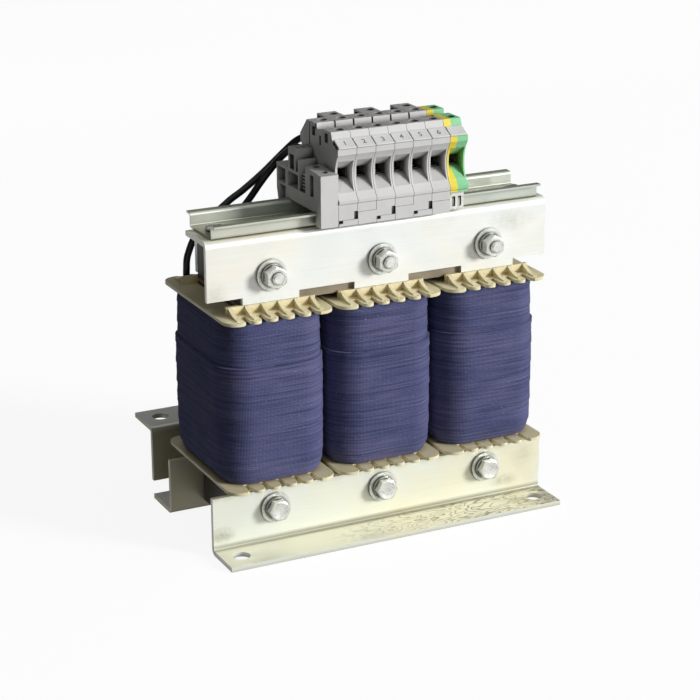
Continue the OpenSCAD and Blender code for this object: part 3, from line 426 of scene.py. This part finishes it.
ZINC = zinc_sheet()
FOOT = foot_zinc()
ZINC_IN_SHADE = shaded_zinc()
RAIL = rail_zinc()
STEEL = fastener_steel()
CORE = lamination()
CREAM = bobbin_plastic()
GREY = plastic("grey_plastic", (208, 207, 205), (217, 216, 214), (192, 190, 188), (58, 56, 54), 0.33)
YELLOW = plastic("yellow_plastic", (240, 220, 84), (247, 229, 104), (222, 198, 62), (120, 88, 20))
GREEN = plastic("green_plastic", (138, 210, 156), (154, 222, 170), (108, 184, 130), (22, 84, 34))
WHITE = plastic("white_plastic", (218, 217, 216), (225, 224, 223), (206, 204, 202), (120, 116, 112))
INK = plastic("ink", (52, 52, 56), (66, 66, 70), (44, 44, 48), (30, 30, 34))
BLACK = insulation()
COPPER = metal("copper", (168, 96, 56), (196, 122, 78), 0.35)
BRASS = metal("brass", (188, 156, 92), (208, 178, 112), 0.3)
BOARD = board()
TAPE = cloth_tape()

# Looks of the part's own nodes; every other node has the fasteners' look
LOOKS = {
    "core_e_stack": CORE,
    "upper_yoke": CORE,
    "gap_spacers": BOARD,
    "front_foot": FOOT,
    "rear_foot": ZINC_IN_SHADE,
    "rear_bracket": ZINC_IN_SHADE,
    "upper_front_clamp": ZINC,
    "upper_rear_bar": ZINC,
    "din_rail": RAIL,
    "end_clamp": GREY,
    "earth_left_half": YELLOW,
    "earth_right_half": GREEN,
    "current_bars": BRASS,
    "marker_strip": WHITE,
}
for side in SIDES:
    LOOKS["bobbin_" + side] = CREAM
    LOOKS["winding_" + side] = COPPER
    LOOKS["tape_" + side] = TAPE
for i in range(1, 7):
    LOOKS["terminal_%d" % i] = GREY
    LOOKS["lead_%d" % i] = BLACK

# Rounded edges, in mm
EDGES = {
    CREAM: 0.3,
    GREY: 0.22,
    YELLOW: 0.22,
    GREEN: 0.22,
    ZINC: 0.25,
    FOOT: 0.25,
    ZINC_IN_SHADE: 0.25,
    RAIL: 0.2,
    CORE: 0.15,
    STEEL: 0.18,
}
SHARP = math.radians(40)


def soften(obj, width):
    edge = obj.modifiers.new("edge", "BEVEL")
    edge.width = width * MM
    edge.segments = 2
    edge.limit_method = "ANGLE"
    edge.angle_limit = SHARP


for name, obj in nodes.items():
    look = LOOKS.get(name, STEEL)
    obj.data.materials.clear()
    obj.data.materials.append(look)
    if look in EDGES:
        soften(obj, EDGES[look])


# Mesh helpers
def piece(name, points, faces, look, smooth, slot):
    """A mesh piece from points in mm, riding on the part's one body, smooth up to an angle in degrees."""
    mesh = bpy.data.meshes.new(name)
    mesh.from_pydata([Vector(p) * MM for p in points], [], faces)
    mesh.materials.append(look)
    mesh.polygons.foreach_set("use_smooth", [True] * len(mesh.polygons))
    mesh.set_sharp_from_angle(angle=math.radians(smooth))
    mesh.update()
    obj = bpy.data.objects.new(name, mesh)
    show(obj)
    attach(obj, "root")
    return obj


def stack_rings(points, faces, rings, close=False):
    """Add rings of equal length and the faces between them, and with close, caps at both ends."""
    start, count = len(points), len(rings[0])
    for ring in rings:
        points.extend(ring)
    for row in range(len(rings) - 1):
        a = start + row * count
        for k in range(count):
            j = (k + 1) % count
            faces.append((a + k, a + j, a + count + j, a + count + k))
    if close:
        faces.append(tuple(start + k for k in reversed(range(count))))
        faces.append(tuple(start + (len(rings) - 1) * count + k for k in range(count)))


def closed_rings(rings):
    """Points and faces of rings joined one to the next, and the last to the first."""
    points, faces = [], []
    stack_rings(points, faces, rings + rings[:1])
    total = len(rings) * len(rings[0])
    return points[:total], [tuple(v % total for v in face) for face in faces]


def made_mesh(data):
    """The mesh that a curve or text makes."""
    maker = bpy.data.objects.new("maker", data)
    show(maker)
    bpy.context.view_layer.update()
    mesh = bpy.data.meshes.new_from_object(maker.evaluated_get(bpy.context.evaluated_depsgraph_get()))
    bpy.data.objects.remove(maker)
    return mesh


# Core: stacked sheets with bolt holes, whose yokes end flush with the outer limbs
LIMB_W = 30.0
YOKE_H = 30.0
SHEET_T = 0.5
BOLT_HOLE_R = 3.5
HOLE_SIDES = 24
SHEET_SHIFT = 0.12
SHEET_RISE = 0.05
SHEET_WANDER = 0.9


def cut_sheet(outline, hole_z):
    """Points and faces of one flat sheet: its outline with a bolt hole at each limb, SHEET_T thick."""
    turns = [2 * math.pi * k / HOLE_SIDES for k in range(HOLE_SIDES)]
    hole = [(BOLT_HOLE_R * math.cos(t), BOLT_HOLE_R * math.sin(t)) for t in turns]
    loops = [outline] + [[(mid + x, hole_z + z) for x, z in hole] for mid in PHASE_X]
    data = bpy.data.curves.new("sheet", "CURVE")
    data.dimensions = "2D"
    data.fill_mode = "BOTH"
    data.extrude = SHEET_T / 2
    for loop in loops:
        line = data.splines.new("POLY")
        line.points.add(len(loop) - 1)
        for knot, (x, z) in zip(line.points, loop):
            knot.co = (x, z, 0, 1)
        line.use_cyclic_u = True
    solid = bmesh.new()
    solid.from_mesh(made_mesh(data))
    bmesh.ops.remove_doubles(solid, verts=solid.verts, dist=0.001)
    bmesh.ops.recalc_face_normals(solid, faces=solid.faces)
    solid.verts.index_update()
    points = [tuple(v.co) for v in solid.verts]
    faces = [tuple(v.index for v in f.verts) for f in solid.faces]
    solid.free()
    return points, faces


def sheet_stack(name, node, outline, hole_z, seed):
    """Sheets from the node's front to its rear, each a hair out of line."""
    low, high = box_mm(node)
    flat, flat_faces = cut_sheet(outline, hole_z)
    count = round((high.y - low.y) / SHEET_T)
    points, faces = [], []
    for n in range(count):
        start = len(points)
        shift = SHEET_SHIFT * noise.noise((n * SHEET_WANDER, seed, 0))
        rise = SHEET_RISE * noise.noise((n * SHEET_WANDER, seed, 7))
        mid = low.y + (n + 0.5) * SHEET_T
        points += [(x + shift, mid - t, z + rise) for x, z, t in flat]
        faces += [tuple(start + k for k in face) for face in flat_faces]
    obj = piece(name, points, faces, CORE, 35, "lamination")
    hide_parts(node)


def add_core():
    side = LIMB_PITCH + LIMB_W / 2
    low, high = box_mm("core_e_stack")
    window = low.z + YOKE_H
    outline = [(-side, low.z), (side, low.z)]
    for n in (1, 0, -1):
        right = n * LIMB_PITCH + LIMB_W / 2
        left = n * LIMB_PITCH - LIMB_W / 2
        outline += [(right, high.z), (left, high.z)]
        if n > -1:
            outline += [(left, window), (left - LIMB_PITCH + LIMB_W, window)]
    sheet_stack("core_sheets", "core_e_stack", outline, low.z + YOKE_H / 2, 1.0)
    low, high = box_mm("upper_yoke")
    outline = [(-side, low.z), (side, low.z), (side, high.z), (-side, high.z)]
    sheet_stack("yoke_sheets", "upper_yoke", outline, (low.z + high.z) / 2, 4.0)


add_core()


# Leads: the part's own routes, from a slot in the coil's rear comb over to the back of a terminal
LEAD_D = 3.6
# Bare ends: width, twist in turns, start below the coil's top, reach into the lead, start inward of it
WIRE_D = 2.2
WIRE_TWIST = 0.6
WIRE_LOW = 1.4
WIRE_UP = 0.2
WIRE_IN = 1.8
WIRE_ROWS = 8
STRAND_SIDES = 8
COMB_Y = 36.5
COMB_Z = 124.7
COIL_TOP = 121.9
MOUTH_Z = 186.4
LEAD_END_Y = (2.4, -1.8, -7.6)
LEAD_X = (-77.4, -60.0, -17.4, 0.0, 42.6, 60.0)
TERMINAL_X = (-9.8, -20.0, 0.4, 10.6, 20.8, 31.0)
# Shares of the way across, up and forward, for the first and the second lead of each coil
LEAD_OVER = (
    (0.02, 0.19, -0.015), (0.12, 0.37, -0.05), (0.36, 0.565, -0.1), (0.5, 0.65, -0.13),
    (0.67, 0.775, -0.145), (0.83, 0.93, -0.105), (0.915, 1.045, 0.045), (0.97, 1.1, 0.265),
    (0.995, 1.09, 0.53), (1, 1.03, 0.785))
LEAD_UNDER = (
    (0.03, 0.2, -0.06), (0.215, 0.375, -0.09), (0.475, 0.59, -0.04), (0.6, 0.705, -0.005),
    (0.72, 0.8, 0.015), (0.845, 0.905, 0.075), (0.925, 0.985, 0.205), (0.975, 1.035, 0.38),
    (1, 1.04, 0.6), (1, 1.02, 0.82))


def lead_route(i):
    start = Vector((LEAD_X[i], COMB_Y, COMB_Z))
    way = Vector((TERMINAL_X[i], LEAD_END_Y[0], MOUTH_Z)) - start
    shares = LEAD_UNDER if i % 2 else LEAD_OVER
    route = [start, start + Vector((0, 0, LEAD_D))]
    route += [start + Vector((x * way.x, y * way.y, z * way.z)) for x, z, y in shares]
    return route + [Vector((TERMINAL_X[i], y, MOUTH_Z)) for y in LEAD_END_Y]


def add_lead(i):
    route = [p * MM for p in lead_route(i)]
    data = bpy.data.curves.new("lead_cord_%d" % (i + 1), "CURVE")
    data.dimensions = "3D"
    data.bevel_depth = LEAD_D / 2 * MM
    data.bevel_resolution = 5
    data.resolution_u = 10
    data.use_fill_caps = True
    data.materials.append(BLACK)
    line = data.splines.new("BEZIER")
    line.bezier_points.add(len(route) - 1)
    last = len(route) - 1
    for k, (knot, place) in enumerate(zip(line.bezier_points, route)):
        pull = (route[min(k + 1, last)] - route[max(k - 1, 0)]) / 6
        knot.co = place
        knot.handle_left_type = knot.handle_right_type = "FREE"
        knot.handle_left = place - pull
        knot.handle_right = place + pull
    obj = bpy.data.objects.new("lead_cord_%d" % (i + 1), data)
    show(obj)
    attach(obj, "root")
    wire = bare_wire(i)
    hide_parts("lead_%d" % (i + 1))


def bare_wire(i):
    """The stripped end between the coil and the lead's insulation: six strands twisted around a seventh."""
    points, faces = [], []
    strand_r = WIRE_D / 6
    sides = [2 * math.pi * m / STRAND_SIDES for m in range(STRAND_SIDES)]
    start, end = COIL_TOP - WIRE_LOW, COMB_Z + WIRE_UP
    for n in range(7):
        off = 0 if n == 6 else 2 * strand_r
        rings = []
        for k in range(WIRE_ROWS + 1):
            t = k / WIRE_ROWS
            turn = 2 * math.pi * (n / 6 + WIRE_TWIST * t)
            x = LEAD_X[i] + off * math.cos(turn)
            y = COMB_Y + off * math.sin(turn) - WIRE_IN * (1 - t) ** 2
            z = start + t * (end - start)
            rings.append([(x + strand_r * math.cos(a), y + strand_r * math.sin(a), z) for a in sides])
        stack_rings(points, faces, rings, close=True)
    return piece("bare_wire_%d" % (i + 1), points, faces, COPPER, 60, "copper")


for i in range(6):
    add_lead(i)


# Taped coils: a cloth wrap with an overlap, a rounded lower end and slightly uneven bands
COIL_HALF = (28.2, 37.85)
COIL_R = 14.5
COIL_LOW = 36.7
# Depth of the cloth's inner side
LINING = 2.5
LINING_ROWS = 24
AROUND = 260
ROW = 0.6
SWELL = 1.5
# Overlap of the upper and the lower cloth
SEAM_Z = 97.9
SEAM_STEP = 0.9
SEAM_ROW = 0.15
SEAM_REACH = 2.4
SEAM_WAVE = 0.5
SEAM_RAGGED = 0.35
# Depth of the groove above the overlap and of the lip below it, with how fast they fade
GROOVE = (0.4, 0.5)
LIP = (0.25, 0.7)
# Rounded ends
FOOT_IN = 4.4
FOOT_UP = 11.0
FOOT_ROUND = 0.92
TOP_IN = 0.9
TOP_DOWN = 5.0
# Bands of tape, and waves in the cloth
BAND = 10.5
BAND_LAP = 0.32
WAVE_DEEP = 0.16
RIPPLE_DEEP = 0.07
UV_APART = 40.0
# Windings under the cloth
WINDING_PLAY = 0.1
TUBE_HALF = (17.4, 29.65)
TUBE_R = 1.0
TURN_H = 2.0
TURN_ROWS = 4
TURN_DEEP = 0.4
TURN_AROUND = 96


def rounded_ring(x, y, r, count):
    """Evenly spaced points around a rounded box with half sizes x and y: place, normal and way round."""
    straight_x, straight_y, arc = 2 * (x - r), 2 * (y - r), math.pi * r / 2
    total = 2 * straight_x + 2 * straight_y + 4 * arc
    runs = [((x - r, y), (-1, 0), straight_x), ((-x, y - r), (0, -1), straight_y),
            ((-x + r, -y), (1, 0), straight_x), ((x, -y + r), (0, 1), straight_y)]
    out = []
    for k in range(count):
        at = total * k / count
        for (px, py), (dx, dy), length in runs:
            if at < length:
                out.append((px + dx * at, py + dy * at, dy, -dx, total * k / count))
                break
            at -= length
            if at < arc:
                turn = at / r
                nx = dy * math.cos(turn) + dx * math.sin(turn)
                ny = -dx * math.cos(turn) + dy * math.sin(turn)
                cx, cy = px + dx * length - dy * r, py + dy * length + dx * r
                out.append((cx + nx * r, cy + ny * r, nx, ny, total * k / count))
                break
            at -= arc
    return out, total


def tape_levels():
    """Heights of the wrap's rows, closer together around the seam."""
    levels = [COIL_LOW]
    while levels[-1] < COIL_TOP:
        close = abs(levels[-1] - SEAM_Z) < SEAM_REACH
        levels.append(min(COIL_TOP, levels[-1] + (SEAM_ROW if close else ROW)))
    return levels


def swell(nx, ny, px, py):
    """How far the coil's faces stand out in their middles."""
    side = 1 - (py / COIL_HALF[1]) ** 2
    front = 1 - (px / COIL_HALF[0]) ** 2
    return SWELL * (nx * nx * side + ny * ny * front)


def end_inset(z):
    """How far the coil is rounded in at its lower and upper end."""
    inset = 0.0
    if z < COIL_LOW + FOOT_UP:
        t = 1 - (z - COIL_LOW) / FOOT_UP
        inset += FOOT_IN * (1 - math.sqrt(max(0.0, 1 - FOOT_ROUND * t * t)))
    if z > COIL_TOP - TOP_DOWN:
        inset += TOP_IN * ((z - COIL_TOP + TOP_DOWN) / TOP_DOWN) ** 2
    return inset


def tape_inset(u, total, z, seed):
    """How far the cloth lies inside the coil's outline, in mm."""
    turn = 2 * math.pi * u / total
    seam = SEAM_Z + SEAM_WAVE * math.sin(turn + seed) + SEAM_RAGGED * noise.noise((u * 0.05, seed, 0))
    over = z - seam
    if over > 0:
        # the upper cloth lies deeper, deepest right above the lower cloth's edge
        inset = SEAM_STEP + GROOVE[0] * math.exp(-over / GROOVE[1])
    else:
        # the lower cloth's edge stands off a little
        inset = -LIP[0] * math.exp(over / LIP[1])
    inset += end_inset(z)
    # bands of tape, each lapping a little over the one below, and soft waves
    level = (z - COIL_LOW) / BAND + u / total + seed
    inset += BAND_LAP * (level % 1.0)
    inset += WAVE_DEEP * noise.noise((u * 0.06, z * 0.25, seed))
    inset += RIPPLE_DEEP * noise.noise((u * 0.15, z * 1.1, seed + 5))
    return inset


def tape_wrap(name, node, x0, seed):
    ring, total = rounded_ring(*COIL_HALF, COIL_R, AROUND)
    rings = []
    for z in tape_levels():
        rings.append([])
        bulge = math.sin(math.pi * (z - COIL_LOW) / (COIL_TOP - COIL_LOW))
        for px, py, nx, ny, u in ring:
            d = tape_inset(u, total, z, seed) - bulge * swell(nx, ny, px, py)
            rings[-1].append((x0 + px - nx * d, py - ny * d, z))
    # over the top, down the inside and back to the first row
    for k in range(LINING_ROWS + 1):
        z = COIL_TOP + (COIL_LOW - COIL_TOP) * k / LINING_ROWS
        d = LINING + end_inset(z)
        rings.append([(x0 + px - nx * d, py - ny * d, z) for px, py, nx, ny, u in ring])
    obj = piece(name, *closed_rings(rings), TAPE, 60, "navy_tape")
    lay_out(obj.data, total, seed)
    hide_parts(node)


def lay_out(mesh, total, seed):
    """Texture places in metres: along the cloth and up it."""
    layer = mesh.uv_layers.new(name="wrap")
    for face in mesh.polygons:
        around = [v % AROUND for v in face.vertices]
        last_column = AROUND - 1 in around
        for loop, k in zip(face.loop_indices, around):
            along = total * (AROUND if last_column and k == 0 else k) / AROUND
            up = mesh.vertices[mesh.loops[loop].vertex_index].co.z
            layer.data[loop].uv = ((along + UV_APART * seed) * MM, up)


def winding(name, node, x0):
    """Copper turns on the bobbin's tube, rounded as the cloth over them is."""
    low, high = box_mm(node)
    outer, _ = rounded_ring(*COIL_HALF, COIL_R, TURN_AROUND)
    inner, _ = rounded_ring(*TUBE_HALF, TUBE_R, TURN_AROUND)
    rows = round((high.z - low.z) / TURN_H) * TURN_ROWS
    rings = []
    for k in range(rows + 1):
        z = low.z + (high.z - low.z) * k / rows
        groove = TURN_DEEP * (0.5 + 0.5 * math.cos(2 * math.pi * k / TURN_ROWS))
        d = LINING + WINDING_PLAY + end_inset(z) + groove
        rings.append([(x0 + px - nx * d, py - ny * d, z) for px, py, nx, ny, u in outer])
    for z in (high.z, low.z):
        rings.append([(x0 + px, py, z) for px, py, nx, ny, u in inner])
    obj = piece(name, *closed_rings(rings), COPPER, 60, "copper")
    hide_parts(node)


for n, side in enumerate(SIDES):
    tape_wrap("tape_wrap_" + side, "tape_" + side, PHASE_X[n], 1.7 * n + 0.3)
    winding("turns_" + side, "winding_" + side, PHASE_X[n])


# Through-bolts with chamfered heads and threaded ends
BOLT_R = 3.0
THREAD_ROOT = 2.52
THREAD_PITCH = 1.0
THREAD_L = 14.0
THREAD_STEP = 0.1
# Slope of the thread's sides, and how far they are lowered to leave a flat root
THREAD_SLOPE = 1.5
THREAD_SUNK = 0.15
HEX_AF = 10.0
HEAD_H = 4.0
HEAD_TOP_R = 4.75
# Depth and radius of the shallow dish in a head's top, from its middle to its rim
HEAD_TOP = ((0.25, 0.5), (0.2, HEAD_TOP_R - 1.2), (0.0, HEAD_TOP_R - 0.6), (0.0, HEAD_TOP_R))
THREAD_RUN = 0.5
CHAMFER_R = THREAD_ROOT - 0.25
END_R = THREAD_ROOT - 0.3
AROUND_BOLT = 48
HEAD_BEVEL = math.tan(math.radians(30))


def hex_radius(turn):
    """Distance from the middle of a hexagon with corners left and right to its side."""
    off = math.fmod(turn, math.pi / 3) - math.pi / 6
    return HEX_AF / 2 / math.cos(off)


def thread_radius(along, turn, end):
    """Radius of a right-hand thread, with a chamfer at its end."""
    wave = abs(2 * math.fmod(along / THREAD_PITCH + turn / (2 * math.pi), 1.0) - 1)
    crest = min(1.0, max(0.0, THREAD_SLOPE * wave - THREAD_SUNK))
    r = THREAD_ROOT + (BOLT_R - THREAD_ROOT) * crest
    return min(r, CHAMFER_R + (end - along))


def add_bolt(points, faces, x, z, head_y, end_y):
    """One bolt along Y: head_y is the top of its head, end_y the end of its thread."""
    step = 1 if end_y > head_y else -1
    length = abs(end_y - head_y)
    turns = [2 * math.pi * k / AROUND_BOLT for k in range(AROUND_BOLT)]

    def ring(along, radius):
        return [(x + radius(t) * math.cos(t), head_y + step * along(t), z + step * radius(t) * math.sin(t))
                for t in turns]

    def flat(value):
        return lambda t: value

    rings = [ring(flat(depth), flat(r)) for depth, r in HEAD_TOP]
    rings.append(ring(lambda t: max(0.0, hex_radius(t) - HEAD_TOP_R) * HEAD_BEVEL, hex_radius))
    rings.append(ring(flat(HEAD_H), hex_radius))
    rings.append(ring(flat(HEAD_H), flat(BOLT_R)))
    rings.append(ring(flat(length - THREAD_L - THREAD_RUN), flat(BOLT_R)))
    along = length - THREAD_L
    while along < length:
        rings.append(ring(flat(along), lambda t, a=along: thread_radius(a, t, length)))
        along += THREAD_STEP
    rings.append(ring(flat(length), flat(END_R)))
    stack_rings(points, faces, rings, close=True)


def bolt_set(name, node, head_first):
    low, high = box_mm(node)
    z = (low.z + high.z) / 2
    points, faces = [], []
    ends = (low.y, high.y) if head_first else (high.y, low.y)
    for x in PHASE_X:
        add_bolt(points, faces, x, z, *ends)
    obj = piece(name, points, faces, STEEL, 28, "zinc_fastener")
    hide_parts(node)


bolt_set("upper_bolt_set", "upper_bolts", False)
bolt_set("lower_bolt_set", "lower_bolts", True)


# Marker tags on the slanted seats: one for each terminal, with plain numbers
ROW_X = -26.3
TERM_W = 10.2
TAG_ANGLE = math.radians(28)
TAG_T = 0.8
TAG_GAP = 0.25
TAG_EDGE = 0.3
TAG_DISH = 0.05
TAG_SOFT = 0.12
# How far in and how high the rings of a tag lie, from its foot to its slightly sunken face
TAG_RINGS = ((0, 0), (0, TAG_T - TAG_EDGE), (TAG_EDGE, TAG_T), (2.2 * TAG_EDGE, TAG_T - TAG_DISH))
DIGIT_SIZE = 4.2
DIGIT_T = 0.06


def tag_frame():
    """The marker strip's origin, directions up its slope and out of it, length up it and ends in X."""
    low, high = box_mm("marker_strip")
    up = Vector((0, math.cos(TAG_ANGLE), math.sin(TAG_ANGLE)))
    out = Vector((0, -math.sin(TAG_ANGLE), math.cos(TAG_ANGLE)))
    origin = Vector((0, low.y + TAG_T * math.sin(TAG_ANGLE), low.z))
    length = (high.z - low.z - TAG_T * math.cos(TAG_ANGLE)) / math.sin(TAG_ANGLE)
    return origin, up, out, length, low.x, high.x


def add_tags():
    origin, up, out, length, x_low, x_high = tag_frame()
    points, faces = [], []
    for n in range(7):
        x0 = max(x_low, ROW_X + n * TERM_W + TAG_GAP / 2)
        x1 = min(x_high, ROW_X + (n + 1) * TERM_W - TAG_GAP / 2)
        rings = []
        for inset, lift in TAG_RINGS:
            left, right = x0 + inset, x1 - inset
            low, high = inset, length - inset
            corners = ((left, low), (right, low), (right, high), (left, high))
            rings.append([origin + Vector((x, 0, 0)) + up * v + out * lift for x, v in corners])
        stack_rings(points, faces, rings, close=True)
    obj = piece("marker_tags", points, faces, WHITE, 30, "white_plastic")
    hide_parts("marker_strip")
    soften(obj, TAG_SOFT)
    middle = origin + up * length / 2 + out * (TAG_T - TAG_DISH)
    for n in range(6):
        add_digit(n, middle + Vector((ROW_X + (n + 0.5) * TERM_W, 0, 0)), up, out)


def add_digit(n, place, up, out):
    """A plain number printed on a tag."""
    data = bpy.data.curves.new("tag_number_%d" % (n + 1), "FONT")
    data.body = str(n + 1)
    data.size = DIGIT_SIZE * MM
    data.extrude = DIGIT_T / 2 * MM
    data.align_x = "CENTER"
    data.align_y = "CENTER"
    data.materials.append(INK)
    mesh = made_mesh(data)
    mesh.transform(axes_matrix(Vector((1, 0, 0)), up, out, place * MM))
    obj = bpy.data.objects.new("tag_number_%d" % (n + 1), mesh)
    show(obj)
    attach(obj, "root")


add_tags()


# Floor and light
SUN = Vector((0.72, -0.75, 0.3))
SUN_POWER = 3.2
ROOM_SIDE = Vector((0.65, -0.75, 0.05))
SUN_SPREAD = math.radians(15)
# The room's light: two cosines to its bright side, and the strengths that they get
ROOM_LEVELS = (-0.8, 0.9, 0.1, 0.42)
FLOOR_HALF = 6.0
FLOOR_DROP = 0.0002
FLOOR_GLOW = 0.9
FLOOR_TONE = 0.15
LEFT_CARD = ((-0.8, -0.5, 0.02), (-0.8, 0.9, 0.02), (-0.8, 0.9, 1.0), (-0.8, -0.5, 1.0))
BACK_CARD = ((-0.7, 1.0, 0.3), (1.2, 1.0, 0.3), (1.2, 0.8, 1.4), (-0.7, 0.8, 1.4))


def seen_rays(tree):
    """1 for rays that show the background: from the camera, in gloss, through glass."""
    path = tree.nodes.new("ShaderNodeLightPath")
    value = path.outputs["Is Camera Ray"]
    for kind in ("Is Glossy Ray", "Is Transmission Ray"):
        either = tree.nodes.new("ShaderNodeMath")
        either.operation = "MAXIMUM"
        tree.links.new(value, either.inputs[0])
        tree.links.new(path.outputs[kind], either.inputs[1])
        value = either.outputs[0]
    return value


def add_stage():
    corners = [(x * FLOOR_HALF, y * FLOOR_HALF, 0) for x, y in ((-1, -1), (1, -1), (1, 1), (-1, 1))]
    mesh = bpy.data.meshes.new("floor")
    mesh.from_pydata(corners, [], [(0, 1, 2, 3)])
    s = Shader("floor", roughness=0.9)
    s.set(Specular_IOR_Level=0.0, Emission_Color=(1, 1, 1, 1))
    tone = (FLOOR_TONE,) * 3
    s.colour(s.ramp(s.noise(3), (0.3, tone), (0.7, tuple(1.03 * c for c in tone))))
    s.link(s.math("MULTIPLY", seen_rays(s.tree), FLOOR_GLOW), s.bsdf.inputs["Emission Strength"])
    mesh.materials.append(s.mat)
    floor = bpy.data.objects.new("floor", mesh)
    floor.location.z = -FLOOR_DROP
    show(floor)


def add_card(name, points):
    """A dark studio card outside the picture, which keeps light off and shows as dark bands in metal."""
    mesh = bpy.data.meshes.new(name)
    mesh.from_pydata(points, [], [tuple(range(len(points)))])
    s = Shader(name, roughness=0.9)
    s.set(Specular_IOR_Level=0.0)
    s.colour(s.ramp(s.noise(3), (0.3, (0.02,) * 3), (0.7, (0.03,) * 3)))
    mesh.materials.append(s.mat)
    card = bpy.data.objects.new(name, mesh)
    card.visible_camera = False
    show(card)


def add_light():
    key = bpy.data.lights.new("key", "SUN")
    key.energy = SUN_POWER
    key.angle = SUN_SPREAD
    lamp = bpy.data.objects.new("key", key)
    lamp.rotation_euler = (-SUN).to_track_quat("-Z", "Y").to_euler()
    show(lamp)

    world = bpy.data.worlds.new("world")
    bpy.context.scene.world = world
    world.use_nodes = True
    tree = world.node_tree
    tree.nodes.clear()
    out = tree.nodes.new("ShaderNodeOutputWorld")
    light = tree.nodes.new("ShaderNodeBackground")
    seen = tree.nodes.new("ShaderNodeBackground")
    mixer = tree.nodes.new("ShaderNodeMixShader")
    light.inputs["Color"].default_value = (0.97, 0.98, 1, 1)
    # the room is brighter on the lamp's side
    where = tree.nodes.new("ShaderNodeTexCoord")
    side = tree.nodes.new("ShaderNodeVectorMath")
    side.operation = "DOT_PRODUCT"
    side.inputs[1].default_value = ROOM_SIDE.normalized()
    level = tree.nodes.new("ShaderNodeMapRange")
    set_range(level, ROOM_LEVELS)
    tree.links.new(where.outputs["Generated"], side.inputs[0])
    tree.links.new(side.outputs["Value"], level.inputs["Value"])
    tree.links.new(level.outputs["Result"], light.inputs["Strength"])
    tree.links.new(seen_rays(tree), mixer.inputs["Fac"])
    tree.links.new(light.outputs[0], mixer.inputs[1])
    tree.links.new(seen.outputs[0], mixer.inputs[2])
    seen.inputs["Color"].default_value = (1, 1, 1, 1)
    tree.links.new(mixer.outputs[0], out.inputs["Surface"])


add_stage()
add_card("left_card", LEFT_CARD)
add_card("back_card", BACK_CARD)
add_light()
bpy.context.scene.view_settings.view_transform = "Standard"
